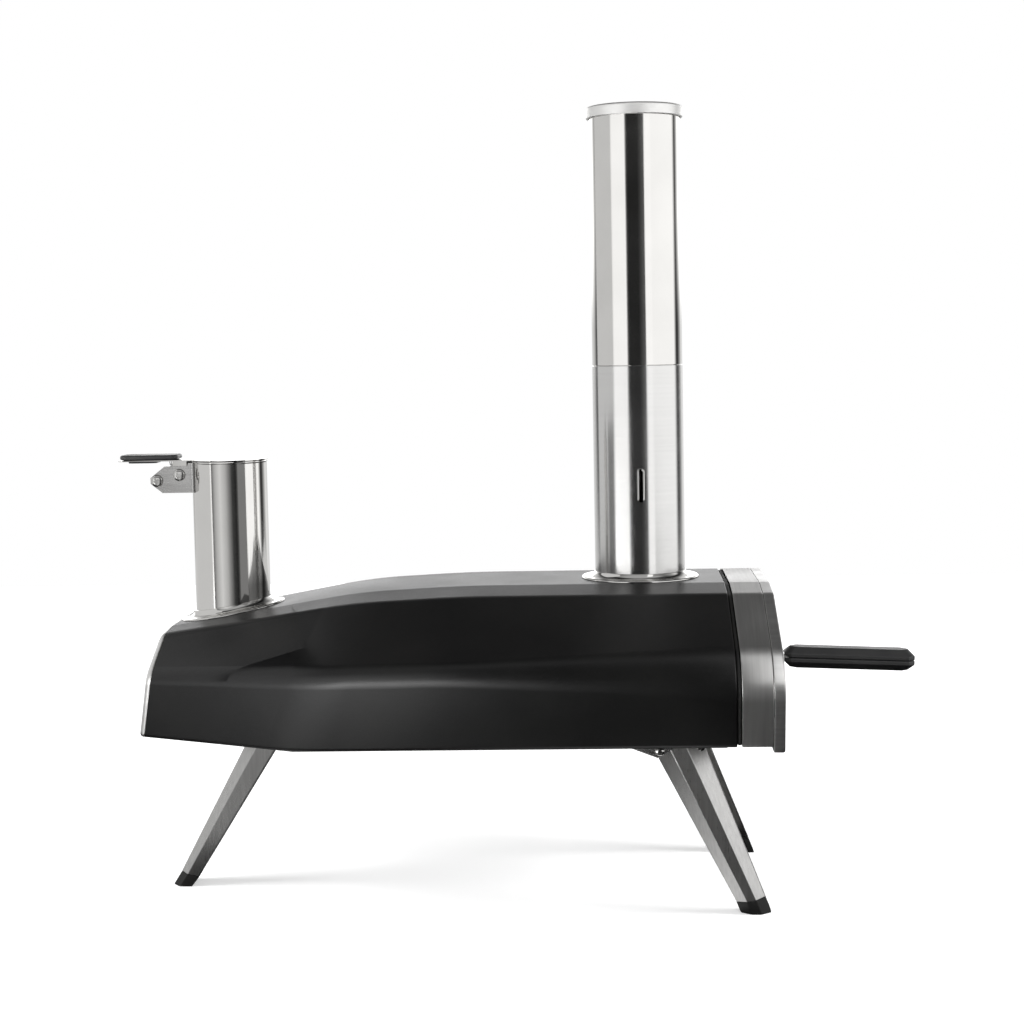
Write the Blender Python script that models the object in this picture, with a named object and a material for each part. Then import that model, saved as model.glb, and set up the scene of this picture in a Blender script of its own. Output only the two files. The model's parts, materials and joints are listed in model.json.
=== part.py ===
"""A portable wood fired pizza oven: a hexagonal steel shell on three folding legs.

Metres, +Z up, +X out of the mouth. The feet stand on z = 0, and y = 0 is the plane of symmetry.
"""
from math import asin, atan, cos, pi, radians, sin, tan

import bmesh
import bpy
from mathutils import Matrix, Vector

GAP = 0.0003
PLATE_THICKNESS = 0.0012

# Hexagonal sections as (half-width, height) of the flat roof, roof crease, widest crease and bottom edge.
BASE_Z = 0.160
MAIN_SECTION = ((0.055, 0.290), (0.097, 0.285), (0.2006, 0.234), (0.165, BASE_Z))
TAPER_SECTION = ((0.055, 0.2855), (0.097, 0.2805), (0.1995, 0.233), (0.165, BASE_Z))
REAR_SECTION = ((0.044, 0.2550), (0.076, 0.2520), (0.112, 0.220), (0.095, BASE_Z))
CREASE_RADII = (0.030, 0.020, 0.016, 0.006)
FRONT_RADII = (0.030, 0.020, 0.036, 0.006)
CREASE_STEPS = 3
SHELL_THICKNESS = 0.0010
SHELL_LIP = 0.014

# Cross planes of the body: x where each one meets the base, and how far it leans per metre of height.
# The roof falls gently from the upright plane at RIDGE_X to the taper, then more steeply to the rear.
FRONT_LEAN = -0.024
TAPER_X, TAPER_LEAN = -0.190, 0.40
REAR_X, REAR_LEAN = -0.335, 0.200
RIDGE_X = -0.045
TAPER_BLEND = 0.030

# Depths of the pieces stacked along the mouth, as x at the base.
SHELL_FRONT_X = 0.1950
BAND_X = (0.1995, 0.2262)
DOOR_X = (0.2265, 0.2360)
BAND_THICKNESS = 0.0012
DOOR_DROP = 0.0050
MOUTH_SECTION = ((0.050, 0.2690), (0.088, 0.2670), (0.172, 0.2280), (0.160, 0.1885))
REAR_PANEL_DEPTH = 0.0050
AIR_HOLE_Z, AIR_HOLE_RADIUS, AIR_HOLE_PITCH, AIR_HOLES = 0.2460, 0.0028, 0.0160, 5

CHAMBER_X = (-0.165, 0.2235)
CHAMBER_SECTION = ((0.050, 0.2725), (0.086, 0.2710), (0.180, 0.2300), (0.1675, 0.1850))
CHAMBER_THICKNESS = 0.0008
BLANKET_X = (-0.128, 0.188)
BLANKET_INSET = 0.0055
BLANKET_THICKNESS = 0.0050
STONE_SIDE, STONE_THICKNESS, STONE_X = 0.330, 0.010, 0.0250
STONE_CHAMFER = 0.0015

BURNER_X = (-0.312, -0.1685)
BURNER_HALF_WIDTH = 0.070
BURNER_Z = (0.168, 0.2435)
BURNER_THICKNESS = 0.0012
TRAY_X = (-0.331, -0.196)
TRAY_HALF_WIDTH = 0.060
TRAY_Z = (0.182, 0.204)
HATCH_HALF_WIDTH, HATCH_Z, HATCH_THICKNESS = 0.074, (0.172, 0.240), 0.0015
HATCH_GRIP_Z, HATCH_GRIP_LENGTH, HATCH_GRIP_HALF_WIDTH = 0.2030, 0.0125, 0.0200

CHIMNEY_X = 0.1165
TUBE_WALL = 0.0008
CHIMNEY_RADIUS = 0.0418
CHIMNEY_FOOT_Z = MAIN_SECTION[0][1] + GAP
CHIMNEY_SEAM_Z = 0.487
CHIMNEY_TOP_Z = 0.7215
CAP_RADIUS, CAP_TOP_Z, CAP_RIM = 0.0443, 0.7235, 0.0105
OUTLET_RADIUS, OUTLET_TOP_Z = 0.0403, 0.3250
SLEEVE_Z = (0.462, 0.512)
CHIMNEY_FLANGE_RADIUS = 0.0545
CLIP_X, CLIP_Z, CLIP_HALF_WIDTH, CLIP_WIRE = 0.1177, (0.3640, 0.3930), 0.0026, 0.0009
SLOT_MARGIN = 0.0006

HOPPER_X = -0.2677
HOPPER_RADIUS = 0.0349
HOPPER_TOP_Z = 0.4052
HOPPER_FLANGE_RADIUS = 0.0490

LID_Z = (0.4056, 0.4066)
LID_RADIUS = 0.0357
TONGUE_END_X, TONGUE_HALF_WIDTH = -0.3705, 0.0152
PAD_X, PAD_Z, PAD_HALF_WIDTH = (-0.3692, -0.3143), (0.4069, 0.4115), 0.0150
CLAMP_X, CLAMP_Z = (-0.3615, -0.3345), (0.4039, 0.4053)
PIVOT_X, PIVOT_Z = -0.3118, 0.3929
STOP_X, STOP_Z = -0.3329, 0.3878
BRACKET_CHEEK_Y, BRACKET_Z = (0.0166, 0.0178), (0.3762, 0.4040)
BRACKET_END_X, BRACKET_ROOT_X, SADDLE_ANGLE = -0.3400, -0.3009, 0.56
BRACKET_OUTLINE = ((-0.2800, 0.3750), (-0.2800, 0.4050), (-0.3030, 0.4050), (-0.3040, 0.4010),
                   (-0.3255, 0.4010), (-0.3390, 0.3905), (-0.3390, 0.3850), (-0.3265, 0.3750))
EAR_Y = (0.0140, 0.0152)
EAR_OUTLINE = ((-0.3185, 0.4061), (-0.3052, 0.4061), (-0.3052, 0.3905), (-0.3085, 0.3870),
               (-0.3150, 0.3870), (-0.3185, 0.3905))
BUMPER_X, BUMPER_FOOT_Z = (-0.3065, -0.3042), 0.4008
COIL_X, COIL_Z, COIL_RADIUS, COIL_WIRE, COIL_TURNS = (-0.3245, -0.3070), 0.4030, 0.0014, 0.0004, 8
BOLT_RADIUS, BOLT_HEAD_RADIUS = 0.0025, 0.0058

HANDLE_X = (0.2495, 0.3705)
HANDLE_ROOT_Z, HANDLE_DROOP = 0.2134, 0.0415
HANDLE_HALF_WIDTH, HANDLE_HALF_HEIGHT, HANDLE_CHAMFER = 0.0140, 0.0098, 0.0058
TANG_HALF_WIDTH, TANG_HALF_HEIGHT, TANG_END_X = 0.0085, 0.0012, 0.3350
TANG_FOOT_HALF_WIDTH, TANG_FOOT_Z, TANG_FOOT_THICKNESS = 0.0130, (0.2025, 0.2245), 0.0015

# Legs: a tapered channel of five panels. Its width shrinks from top to foot.
LEG_Z = (0.1520, 0.0125)
LEG_WIDTHS = (0.0470, 0.0276)
LEG_CHAMFER_SHARE, LEG_SIDE_SHARE = 0.28, 0.42
LEG_THICKNESS = 0.0015
LEG_CUT_SLOPE = 0.17
FRONT_LEG_X = (0.1450, 0.2092)
FRONT_LEG_Y = (0.1106, 0.1180)
REAR_LEG_X = (-0.2503, -0.3250)
FRONT_PIVOT_X, REAR_PIVOT_X, LEG_PIVOT_Z = 0.1300, -0.2255, 0.1470
PIN_RADIUS, PIN_HEAD_RADIUS = 0.0020, 0.0042
BRACKET_TOP_Z, BRACKET_THICKNESS, SPLAY_CLEARANCE = 0.1582, 0.0012, 0.0021

BOTTOM_SCREWS = ((-0.294, 0.070), (-0.117, 0.125))

COLOURS = {
    "powder_coat": ((0.022, 0.022, 0.023), 0.55, 0.0),
    "brushed_steel": ((0.62, 0.62, 0.61), 0.32, 1.0),
    "polished_steel": ((0.78, 0.77, 0.75), 0.10, 1.0),
    "dark_steel": ((0.30, 0.29, 0.28), 0.45, 1.0),
    "black_plastic": ((0.018, 0.018, 0.019), 0.42, 0.0),
    "rubber": ((0.015, 0.015, 0.015), 0.75, 0.0),
    "ceramic_fibre": ((0.85, 0.84, 0.80), 0.95, 0.0),
    "cordierite": ((0.72, 0.62, 0.48), 0.90, 0.0),
}


def material(key, name):
    """A Principled material of its own for one piece."""
    colour, roughness, metallic = COLOURS[key]
    result = bpy.data.materials.new(name)
    result.use_nodes = True
    shader = result.node_tree.nodes["Principled BSDF"]
    shader.inputs["Base Color"].default_value = (*colour, 1.0)
    shader.inputs["Roughness"].default_value = roughness
    shader.inputs["Metallic"].default_value = metallic
    return result


def piece(name, bm, key, origin=(0, 0, 0), crease=35):
    """An object of its own from a closed bmesh built in world coordinates."""
    bmesh.ops.recalc_face_normals(bm, faces=bm.faces)
    bmesh.ops.translate(bm, verts=bm.verts, vec=-Vector(origin))
    mesh = bpy.data.meshes.new(name)
    bm.to_mesh(mesh)
    bm.free()
    mesh.shade_smooth()
    mesh.set_sharp_from_angle(angle=radians(crease))
    result = bpy.data.objects.new(name, mesh)
    result.location = origin
    bpy.context.collection.objects.link(result)
    if key:
        mesh.materials.append(material(key, name))
    return result


def combine(target, other, operation="DIFFERENCE"):
    """Cut, join or intersect a piece with a helper object that isn't part of the oven."""
    other.hide_render = True
    other.display_type = "WIRE"
    modifier = target.modifiers.new(other.name, "BOOLEAN")
    modifier.operation = operation
    modifier.object = other
    return target


def hang(child, parent):
    """Parent a piece without moving it."""
    child.parent = parent
    child.matrix_parent_inverse = Matrix.Translation(-parent.location)


def quads(bm, first, second, closed=True):
    count = len(first)
    for i in range(count if closed else count - 1):
        j = (i + 1) % count
        bm.faces.new((first[i], first[j], second[j], second[i]))


def loft(rings):
    """A solid through matching closed outlines."""
    bm = bmesh.new()
    rows = [[bm.verts.new(point) for point in ring] for ring in rings]
    for first, second in zip(rows, rows[1:]):
        quads(bm, first, second)
    bm.faces.new(rows[0])
    bm.faces.new(rows[-1])
    return bm


def sheet(outers, inners, closed):
    """A sheet of metal between matching outer and inner outlines at several stations."""
    bm = bmesh.new()
    outer_rows = [[bm.verts.new(point) for point in ring] for ring in outers]
    inner_rows = [[bm.verts.new(point) for point in ring] for ring in inners]
    for rows in (outer_rows, inner_rows):
        for first, second in zip(rows, rows[1:]):
            quads(bm, first, second, closed)
    for end in (0, -1):
        quads(bm, outer_rows[end], inner_rows[end], closed)
        if not closed:
            quads(bm, [row[end] for row in outer_rows], [row[end] for row in inner_rows], closed=False)
    return bm


def turned(profile, segments=40, turn=None):
    """A solid turned about the Z axis from a closed (radius, z) outline, then moved by the matrix turn."""
    bm = bmesh.new()
    rows = []
    for step in range(segments):
        angle = 2 * pi * step / segments
        rows.append([bm.verts.new((r * cos(angle), r * sin(angle), z)) for r, z in profile])
    for i in range(segments):
        quads(bm, rows[i], rows[(i + 1) % segments])
    bmesh.ops.remove_doubles(bm, verts=bm.verts, dist=1e-6)
    on_axis = [edge for edge in bm.edges if not edge.link_faces]
    bmesh.ops.delete(bm, geom=on_axis, context="EDGES")
    if turn:
        bmesh.ops.transform(bm, matrix=turn, verts=bm.verts)
    return bm


def box(low, high):
    corners = [(low[0], low[1]), (high[0], low[1]), (high[0], high[1]), (low[0], high[1])]
    return loft([[(x, y, z) for x, y in corners] for z in (low[2], high[2])])


def prism_y(outline, low, high):
    """A plate from an (x, z) outline, between two values of y."""
    return loft([[(x, y, z) for x, z in outline] for y in (low, high)])


def tube_profile(radius, wall, low, high):
    return [(radius - wall, low), (radius, low), (radius, high), (radius - wall, high)]


def facing_y(x, z, y=0.0, sign=1):
    """Turns the Z axis of a turned solid to point along y, at (x, y, z)."""
    return Matrix.Translation((x, y, z)) @ Matrix.Rotation(-sign * pi / 2, 4, "X")


def hexagon(section):
    """A section's corners, from its bottom edge at +y over the roof to its bottom edge at -y."""
    side = [Vector((0, y, z)) for y, z in reversed(section)]
    return side + [Vector((0, -p.y, p.z)) for p in reversed(side)]


def inset(outline, distance, closed):
    """The outline moved inward by a distance."""
    count = len(outline)
    result = []
    for i, corner in enumerate(outline):
        normals = []
        for a, b in ((i - 1, i), (i, i + 1)):
            if closed or (a >= 0 and b < count):
                along = (outline[b % count] - outline[a]).normalized()
                normals.append(Vector((0, -along.z, along.y)))
        total = sum(normals, Vector())
        result.append(corner + total * distance / (1 + normals[0].dot(normals[-1])) * (3 - len(normals)))
    return result


def rounded(outline, radii, closed):
    """The outline with each corner replaced by an arc."""
    count = len(outline)
    result = []
    for i, corner in enumerate(outline):
        if radii[i] <= 0:
            result.append(corner)
            continue
        before = (outline[i - 1] - corner).normalized()
        after = (outline[(i + 1) % count] - corner).normalized()
        half = before.angle(after) / 2
        centre = corner + (before + after).normalized() * radii[i] / sin(half)
        start = corner + before * radii[i] / tan(half) - centre
        end = corner + after * radii[i] / tan(half) - centre
        for step in range(CREASE_STEPS + 1):
            result.append(centre + start.slerp(end, step / CREASE_STEPS).normalized() * radii[i])
    return result


def ring(section, distance=0.0, drop=0.0, radii=CREASE_RADII):
    """A section's rounded closed outline, moved inward, its bottom lowered by drop."""
    lowered = section[:-1] + ((section[-1][0], section[-1][1] - drop),)
    corners = inset(hexagon(lowered), distance, closed=True)
    side = [max(radius - distance, 0.002) for radius in reversed(radii)]
    return rounded(corners, side + side[::-1], closed=True)


def front_ring(distance=0.0, drop=0.0):
    """The body's outline at the mouth, where the widest crease is softer."""
    return ring(MAIN_SECTION, distance, drop, FRONT_RADII)


def stand(outline, foot_x, lean):
    """The outline placed on a leaning cross plane."""
    return [Vector((foot_x + (p.z - BASE_Z) * lean, p.y, p.z)) for p in outline]


def bend(ahead, corner, behind, reach, steps=4):
    """Stations that round the fold between two stretches of a loft."""
    rows = []
    for step in range(steps + 1):
        t = step / steps
        row = []
        for a, b, c in zip(ahead, corner, behind):
            start = b + (a - b).normalized() * reach
            end = b + (c - b).normalized() * reach
            row.append(start * (1 - t) ** 2 + b * 2 * t * (1 - t) + end * t ** 2)
        rows.append(row)
    return rows


def shell_rings(distance):
    """Stations of the outer shell's open section, moved inward, from the mouth to the rear."""
    rows = []
    sections = ((MAIN_SECTION, SHELL_FRONT_X, FRONT_LEAN), (MAIN_SECTION, RIDGE_X, 0.0),
                (TAPER_SECTION, TAPER_X, TAPER_LEAN), (REAR_SECTION, REAR_X, REAR_LEAN))
    for index, (section, foot_x, lean) in enumerate(sections):
        corners = hexagon(section)
        first = corners[0] - Vector((0, SHELL_LIP, 0))
        corners = [first] + corners + [Vector((0, -first.y, first.z))]
        radii = CREASE_RADII if index else FRONT_RADII
        side = [0.0] + [radius - distance for radius in reversed(radii)]
        outline = rounded(inset(corners, distance, closed=False), side + side[::-1], closed=False)
        rows.append(stand(outline, foot_x, lean))
    return [rows[0]] + bend(*rows[:3], TAPER_BLEND) + bend(*rows[1:], TAPER_BLEND) + [rows[3]]


def make_shell():
    shell = piece("outer_shell", sheet(shell_rings(0.0), shell_rings(SHELL_THICKNESS), closed=False),
                  "powder_coat", crease=60)
    combine(shell, cutter("chimney_hole", CHIMNEY_X, OUTLET_RADIUS + GAP, (0.28, 0.30)))
    combine(shell, cutter("hopper_hole", HOPPER_X, HOPPER_RADIUS + GAP, (0.24, 0.29)))


def cutter(name, x, radius, heights, segments=40):
    """An upright cylinder on the plane of symmetry, used to cut a hole."""
    profile = [(0, heights[0]), (radius, heights[0]), (radius, heights[1]), (0, heights[1])]
    return piece(name, turned(profile, segments, Matrix.Translation((x, 0, 0))), None)


def make_bottom_plate():
    """The plate that closes the shell from below, set in from its edges."""
    margin = 0.008
    front, main, rear = SHELL_FRONT_X - margin, MAIN_SECTION[-1][0] - margin, REAR_SECTION[-1][0] - margin
    outline = [(front, main), (TAPER_X, main), (REAR_X + margin, rear)]
    outline += [(x, -y) for x, y in reversed(outline)]
    top = BASE_Z - GAP
    levels = (top - PLATE_THICKNESS, top)
    piece("bottom_plate", loft([[(x, y, z) for x, y in outline] for z in levels]), "powder_coat")
    for index, (x, y) in enumerate(BOTTOM_SCREWS):
        for side, sign in (("left", 1), ("right", -1)):
            below = top - PLATE_THICKNESS - GAP
            profile = [(0, below), (0.0040, below), (0.0036, below - 0.0014), (0.0020, below - 0.0022),
                       (0, below - 0.0022)]
            spot = Matrix.Translation((x, sign * y, 0))
            piece(f"bottom_screw_{side}_{index + 1}", turned(profile, 12, spot), "polished_steel")


def make_front():
    """The gasket, the steel band round the mouth and its face with the mouth cut out."""
    seal_rings = [stand(front_ring(0.0020), x, FRONT_LEAN)
                  for x in (SHELL_FRONT_X + GAP, BAND_X[0] - GAP)]
    seal_inner = [stand(front_ring(0.0080), x, FRONT_LEAN)
                  for x in (SHELL_FRONT_X + GAP, BAND_X[0] - GAP)]
    piece("front_seal", sheet(seal_rings, seal_inner, closed=True), "rubber")

    band = loft([stand(front_ring(), x, FRONT_LEAN) for x in BAND_X])
    frame = piece("front_frame", band, "brushed_steel")
    hollow_x = (BAND_X[0] - 0.010, BAND_X[1] - BAND_THICKNESS)
    hollow = loft([stand(front_ring(BAND_THICKNESS), x, FRONT_LEAN) for x in hollow_x])
    combine(frame, piece("band_hollow", hollow, None))
    mouth_x = (BAND_X[0], BAND_X[1] + 0.010)
    mouth = loft([stand(ring(MOUTH_SECTION), x, FRONT_LEAN) for x in mouth_x])
    combine(frame, piece("mouth_cutter", mouth, None))


def make_rear():
    """The stainless panel that closes the rear, with air holes and the hatch opening."""
    rear_x = (REAR_X - GAP, REAR_X - REAR_PANEL_DEPTH)
    outside = [stand(ring(REAR_SECTION, 0.0005 + 0.003 * i), x, REAR_LEAN) for i, x in enumerate(rear_x)]
    panel = piece("rear_panel", loft(outside), "brushed_steel")
    hollow_x = (REAR_X + 0.010, REAR_X - REAR_PANEL_DEPTH + BAND_THICKNESS)
    hollow = [stand(ring(REAR_SECTION, 0.0055), x, REAR_LEAN) for x in hollow_x]
    combine(panel, piece("rear_hollow", loft(hollow), None))
    side = TRAY_HALF_WIDTH + 0.004
    opening = box((-0.40, -side, TRAY_Z[0] - 0.004), (-0.29, side, 0.232))
    combine(panel, piece("hatch_opening", opening, None))
    for column in range(AIR_HOLES):
        y = (column - (AIR_HOLES - 1) / 2) * AIR_HOLE_PITCH
        turn = Matrix.Translation((-0.36, y, AIR_HOLE_Z)) @ Matrix.Rotation(pi / 2, 4, "Y")
        profile = [(0, 0), (AIR_HOLE_RADIUS, 0), (AIR_HOLE_RADIUS, 0.08), (0, 0.08)]
        combine(panel, piece(f"air_hole_{column}", turned(profile, 8, turn), None))
    normal = Matrix.Rotation(atan(REAR_LEAN) - pi / 2, 4, "Y")
    for side, sign in (("left", 1), ("right", -1)):
        for level, z in (("upper", 0.214), ("lower", 0.186)):
            x = REAR_X - REAR_PANEL_DEPTH + (z - BASE_Z) * REAR_LEAN - GAP
            profile = [(0, 0), (0.0036, 0), (0.0032, 0.0012), (0.0018, 0.0020), (0, 0.0020)]
            spot = Matrix.Translation((x, sign * 0.0865, z)) @ normal
            piece(f"rear_screw_{side}_{level}", turned(profile, 12, spot), "polished_steel")


def make_chamber():
    """The inner oven: its liner, rear wall, insulation and baking stone."""
    outers = [stand(ring(CHAMBER_SECTION), x, FRONT_LEAN * (x > 0)) for x in CHAMBER_X]
    inners = [stand(ring(CHAMBER_SECTION, CHAMBER_THICKNESS), x, FRONT_LEAN * (x > 0)) for x in CHAMBER_X]
    liner = piece("inner_chamber", sheet(outers, inners, closed=True), "dark_steel", crease=60)
    combine(liner, cutter("flue_hole", CHIMNEY_X, OUTLET_RADIUS + GAP, (0.26, 0.28)))

    wall_x = (CHAMBER_X[0] - GAP - 0.0012, CHAMBER_X[0] - GAP)
    wall = piece("chamber_rear_wall", loft([stand(ring(CHAMBER_SECTION, 0.001), x, 0) for x in wall_x]),
                 "dark_steel")
    flame = box((-0.19, -BURNER_HALF_WIDTH + 0.004, 0.192), (-0.15, BURNER_HALF_WIDTH - 0.004, 0.238))
    combine(wall, piece("flame_opening", flame, None))

    rows = []
    for distance in (SHELL_THICKNESS + BLANKET_INSET, SHELL_THICKNESS + BLANKET_INSET + BLANKET_THICKNESS):
        corners = inset(hexagon(MAIN_SECTION), distance, closed=True)[1:-1]
        feet = [corners[0] - Vector((0, 0.012, 0.030)), corners[-1] - Vector((0, -0.012, 0.030))]
        outline = rounded([feet[0]] + corners + [feet[1]], [0, 0.022, 0.012, 0, 0, 0.012, 0.022, 0], False)
        rows.append([stand(outline, x, 0) for x in BLANKET_X])
    blanket = piece("insulation_blanket", sheet(*rows, closed=False), "ceramic_fibre", crease=60)
    combine(blanket, cutter("blanket_hole", CHIMNEY_X, OUTLET_RADIUS + 0.002, (0.26, 0.30)))

    half, low = STONE_SIDE / 2, CHAMBER_SECTION[-1][1] + CHAMBER_THICKNESS + GAP
    rings = []
    for edge, z in ((STONE_CHAMFER, low), (0, low + STONE_CHAMFER),
                    (0, low + STONE_THICKNESS - STONE_CHAMFER), (STONE_CHAMFER, low + STONE_THICKNESS)):
        reach = half - edge
        signs = ((1, 1), (-1, 1), (-1, -1), (1, -1))
        rings.append([(STONE_X + along * reach, across * reach, z) for along, across in signs])
    piece("pizza_stone", loft(rings), "cordierite")


def make_burner():
    """The steel box under the hopper, and the tray of burning pellets that pulls out of its rear."""
    (rear, front), half, (low, high) = BURNER_X, BURNER_HALF_WIDTH, BURNER_Z
    wall = BURNER_THICKNESS
    outer = [(half, low), (half, high), (-half, high), (-half, low)]
    inner = [(half - wall, low + wall), (half - wall, high - wall), (-half + wall, high - wall),
             (-half + wall, low + wall)]
    rows = [[[(x, y, z) for y, z in outline] for x in (rear, front)] for outline in (outer, inner)]
    burner = piece("burner_box", sheet(*rows, closed=True), "dark_steel")
    combine(burner, cutter("pellet_hole", HOPPER_X, HOPPER_RADIUS - TUBE_WALL, (0.235, 0.25)))

    (rear, front), half, (low, high) = TRAY_X, TRAY_HALF_WIDTH, TRAY_Z
    carrier = bpy.data.objects.new("fuel_tray_slide", None)
    carrier.location = (rear, 0, low)
    bpy.context.collection.objects.link(carrier)
    tray = piece("fuel_tray", box((rear, -half, low), (front, half, high)), "dark_steel", carrier.location)
    hang(tray, carrier)
    hollow = box((rear + wall, -half + wall, low + wall), (front - wall, half - wall, high + 0.01))
    combine(tray, piece("tray_hollow", hollow, None))
    for column in range(4):
        for line in range(4):
            x, y = rear + 0.022 + column * 0.0245, (line - 1.5) * 0.026
            slot = box((x - 0.007, y - 0.004, low - 0.01), (x + 0.007, y + 0.004, low + 0.01))
            combine(tray, piece(f"grate_slot_{column}_{line}", slot, None))

    low, high = HATCH_Z
    back = REAR_X - REAR_PANEL_DEPTH - GAP
    corners = [(HATCH_HALF_WIDTH, low), (HATCH_HALF_WIDTH, high), (-HATCH_HALF_WIDTH, high),
               (-HATCH_HALF_WIDTH, low)]
    rings = [[(x + (z - BASE_Z) * REAR_LEAN, y, z) for y, z in corners]
             for x in (back, back - HATCH_THICKNESS)]
    hatch = piece("fuel_hatch", loft(rings), "brushed_steel", carrier.location)
    hang(hatch, carrier)
    face_x, reach = back - HATCH_THICKNESS + (HATCH_GRIP_Z - BASE_Z) * REAR_LEAN, HATCH_GRIP_HALF_WIDTH
    grip = box((face_x - HATCH_GRIP_LENGTH, -reach, HATCH_GRIP_Z - 0.0010),
               (face_x + 0.0010, reach, HATCH_GRIP_Z + 0.0010))
    combine(hatch, piece("hatch_grip", grip, None), "UNION")


def make_chimney():
    """The flue outlet, and the two tubes and the cap that lift off it one after the other."""
    centre = Matrix.Translation((CHIMNEY_X, 0, 0))
    outlet = tube_profile(OUTLET_RADIUS, TUBE_WALL, CHAMBER_SECTION[0][1] - 0.0020, OUTLET_TOP_Z)
    piece("chimney_outlet", turned(outlet, turn=centre), "dark_steel")

    inner, outer, low = CHIMNEY_RADIUS + GAP, CHIMNEY_FLANGE_RADIUS, CHIMNEY_FOOT_Z
    top = [(outer, 0.0006), (outer - 0.0020, 0.0018), (inner + 0.0055, 0.0022), (inner + 0.0020, 0.0040),
           (inner + 0.0004, 0.0062)]
    profile = [(inner, low), (outer, low)] + [(r, low + z) for r, z in top] + [(inner, low + 0.0062)]
    piece("chimney_flange", turned(profile, turn=centre), "polished_steel")

    lower_origin = (CHIMNEY_X, 0, CHIMNEY_FOOT_Z)
    tube = tube_profile(CHIMNEY_RADIUS, TUBE_WALL, CHIMNEY_FOOT_Z, CHIMNEY_SEAM_Z)
    lower = piece("chimney_lower_tube", turned(tube, turn=centre), "brushed_steel", lower_origin)
    reach = CLIP_HALF_WIDTH + CLIP_WIRE + SLOT_MARGIN
    low, high = CLIP_Z[0] - CLIP_WIRE - SLOT_MARGIN, CLIP_Z[1] + CLIP_WIRE + SLOT_MARGIN
    slot = box((CLIP_X - reach, -0.050, low), (CLIP_X + reach, -0.030, high))
    combine(lower, piece("clip_slot", slot, None))

    upper_origin = (CHIMNEY_X, 0, CHIMNEY_SEAM_Z)
    tube = tube_profile(CHIMNEY_RADIUS - 0.0002, TUBE_WALL, CHIMNEY_SEAM_Z + GAP, CHIMNEY_TOP_Z)
    upper = piece("chimney_upper_tube", turned(tube, turn=centre), "polished_steel", upper_origin)
    hang(upper, lower)
    sleeve_radius = CHIMNEY_RADIUS - TUBE_WALL - 0.0006
    tube = tube_profile(sleeve_radius, TUBE_WALL, *SLEEVE_Z)
    hang(piece("chimney_sleeve", turned(tube, turn=centre), "brushed_steel", upper_origin), upper)

    rim = CHIMNEY_RADIUS + GAP
    top = CAP_TOP_Z
    profile = [(0, top - 0.0012), (rim, top - 0.0012), (rim, top - CAP_RIM), (CAP_RADIUS, top - CAP_RIM),
               (CAP_RADIUS, top - 0.0012), (CAP_RADIUS - 0.0012, top), (0, top)]
    hang(piece("chimney_cap", turned(profile, turn=centre), "brushed_steel", (CHIMNEY_X, 0, top)), upper)

    make_clip(lower)


def make_clip(tube):
    """The sprung wire bow that fills the slot in the lower tube."""
    y_out, y_in = -CHIMNEY_RADIUS + 0.0002, -CHIMNEY_RADIUS + 0.0075
    low, high = CLIP_Z[0], CLIP_Z[1] - CLIP_HALF_WIDTH
    path = [(-CLIP_HALF_WIDTH, y_in, low), (-CLIP_HALF_WIDTH, y_out, low)]
    for step in range(9):
        angle = pi - pi * step / 8
        path.append((CLIP_HALF_WIDTH * cos(angle), y_out, high + CLIP_HALF_WIDTH * sin(angle)))
    path += [(CLIP_HALF_WIDTH, y_out, low), (CLIP_HALF_WIDTH, y_in, low)]
    origin = Vector((CLIP_X, y_out, CLIP_Z[0]))
    clip = wire("chimney_clip", [Vector((CLIP_X + x, y, z)) - origin for x, y, z in path], CLIP_WIRE, 1)
    clip.location = origin
    hang(clip, tube)


def wire(name, points, radius, resolution):
    """A bent wire with closed ends."""
    curve = bpy.data.curves.new(name, "CURVE")
    curve.dimensions = "3D"
    spline = curve.splines.new("POLY")
    spline.points.add(len(points) - 1)
    for target, point in zip(spline.points, points):
        target.co = (*point, 1.0)
    curve.bevel_depth = radius
    curve.bevel_resolution = resolution
    curve.use_fill_caps = True
    curve.materials.append(material("polished_steel", name))
    result = bpy.data.objects.new(name, curve)
    bpy.context.collection.objects.link(result)
    return result


def make_hopper():
    """The pellet tube and the dished flange where it meets the sloping roof."""
    tube = tube_profile(HOPPER_RADIUS, TUBE_WALL, BURNER_Z[1] + GAP, HOPPER_TOP_Z)
    piece("hopper_tube", turned(tube, turn=Matrix.Translation((HOPPER_X, 0, 0))), "polished_steel")

    taper_z, rear_z = TAPER_SECTION[0][1], REAR_SECTION[0][1]
    taper_x = TAPER_X + (taper_z - BASE_Z) * TAPER_LEAN
    rear_x = REAR_X + (rear_z - BASE_Z) * REAR_LEAN
    slope = (taper_z - rear_z) / (taper_x - rear_x)
    roof_z = rear_z + (HOPPER_X - rear_x) * slope
    outer = HOPPER_FLANGE_RADIUS
    profile = [(0.030, GAP), (outer, GAP), (outer, 0.0008), (outer - 0.0020, 0.0022), (0.0420, 0.0026),
               (0.0385, 0.0048), (0.0365, 0.0075), (0.030, 0.0075)]
    place = Matrix.Translation((HOPPER_X, 0, roof_z)) @ Matrix.Rotation(-slope, 4, "Y")
    flange = piece("hopper_flange", turned(profile, turn=place), "polished_steel")
    combine(flange, cutter("flange_bore", HOPPER_X, HOPPER_RADIUS + GAP, (0.24, 0.30)))


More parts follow.
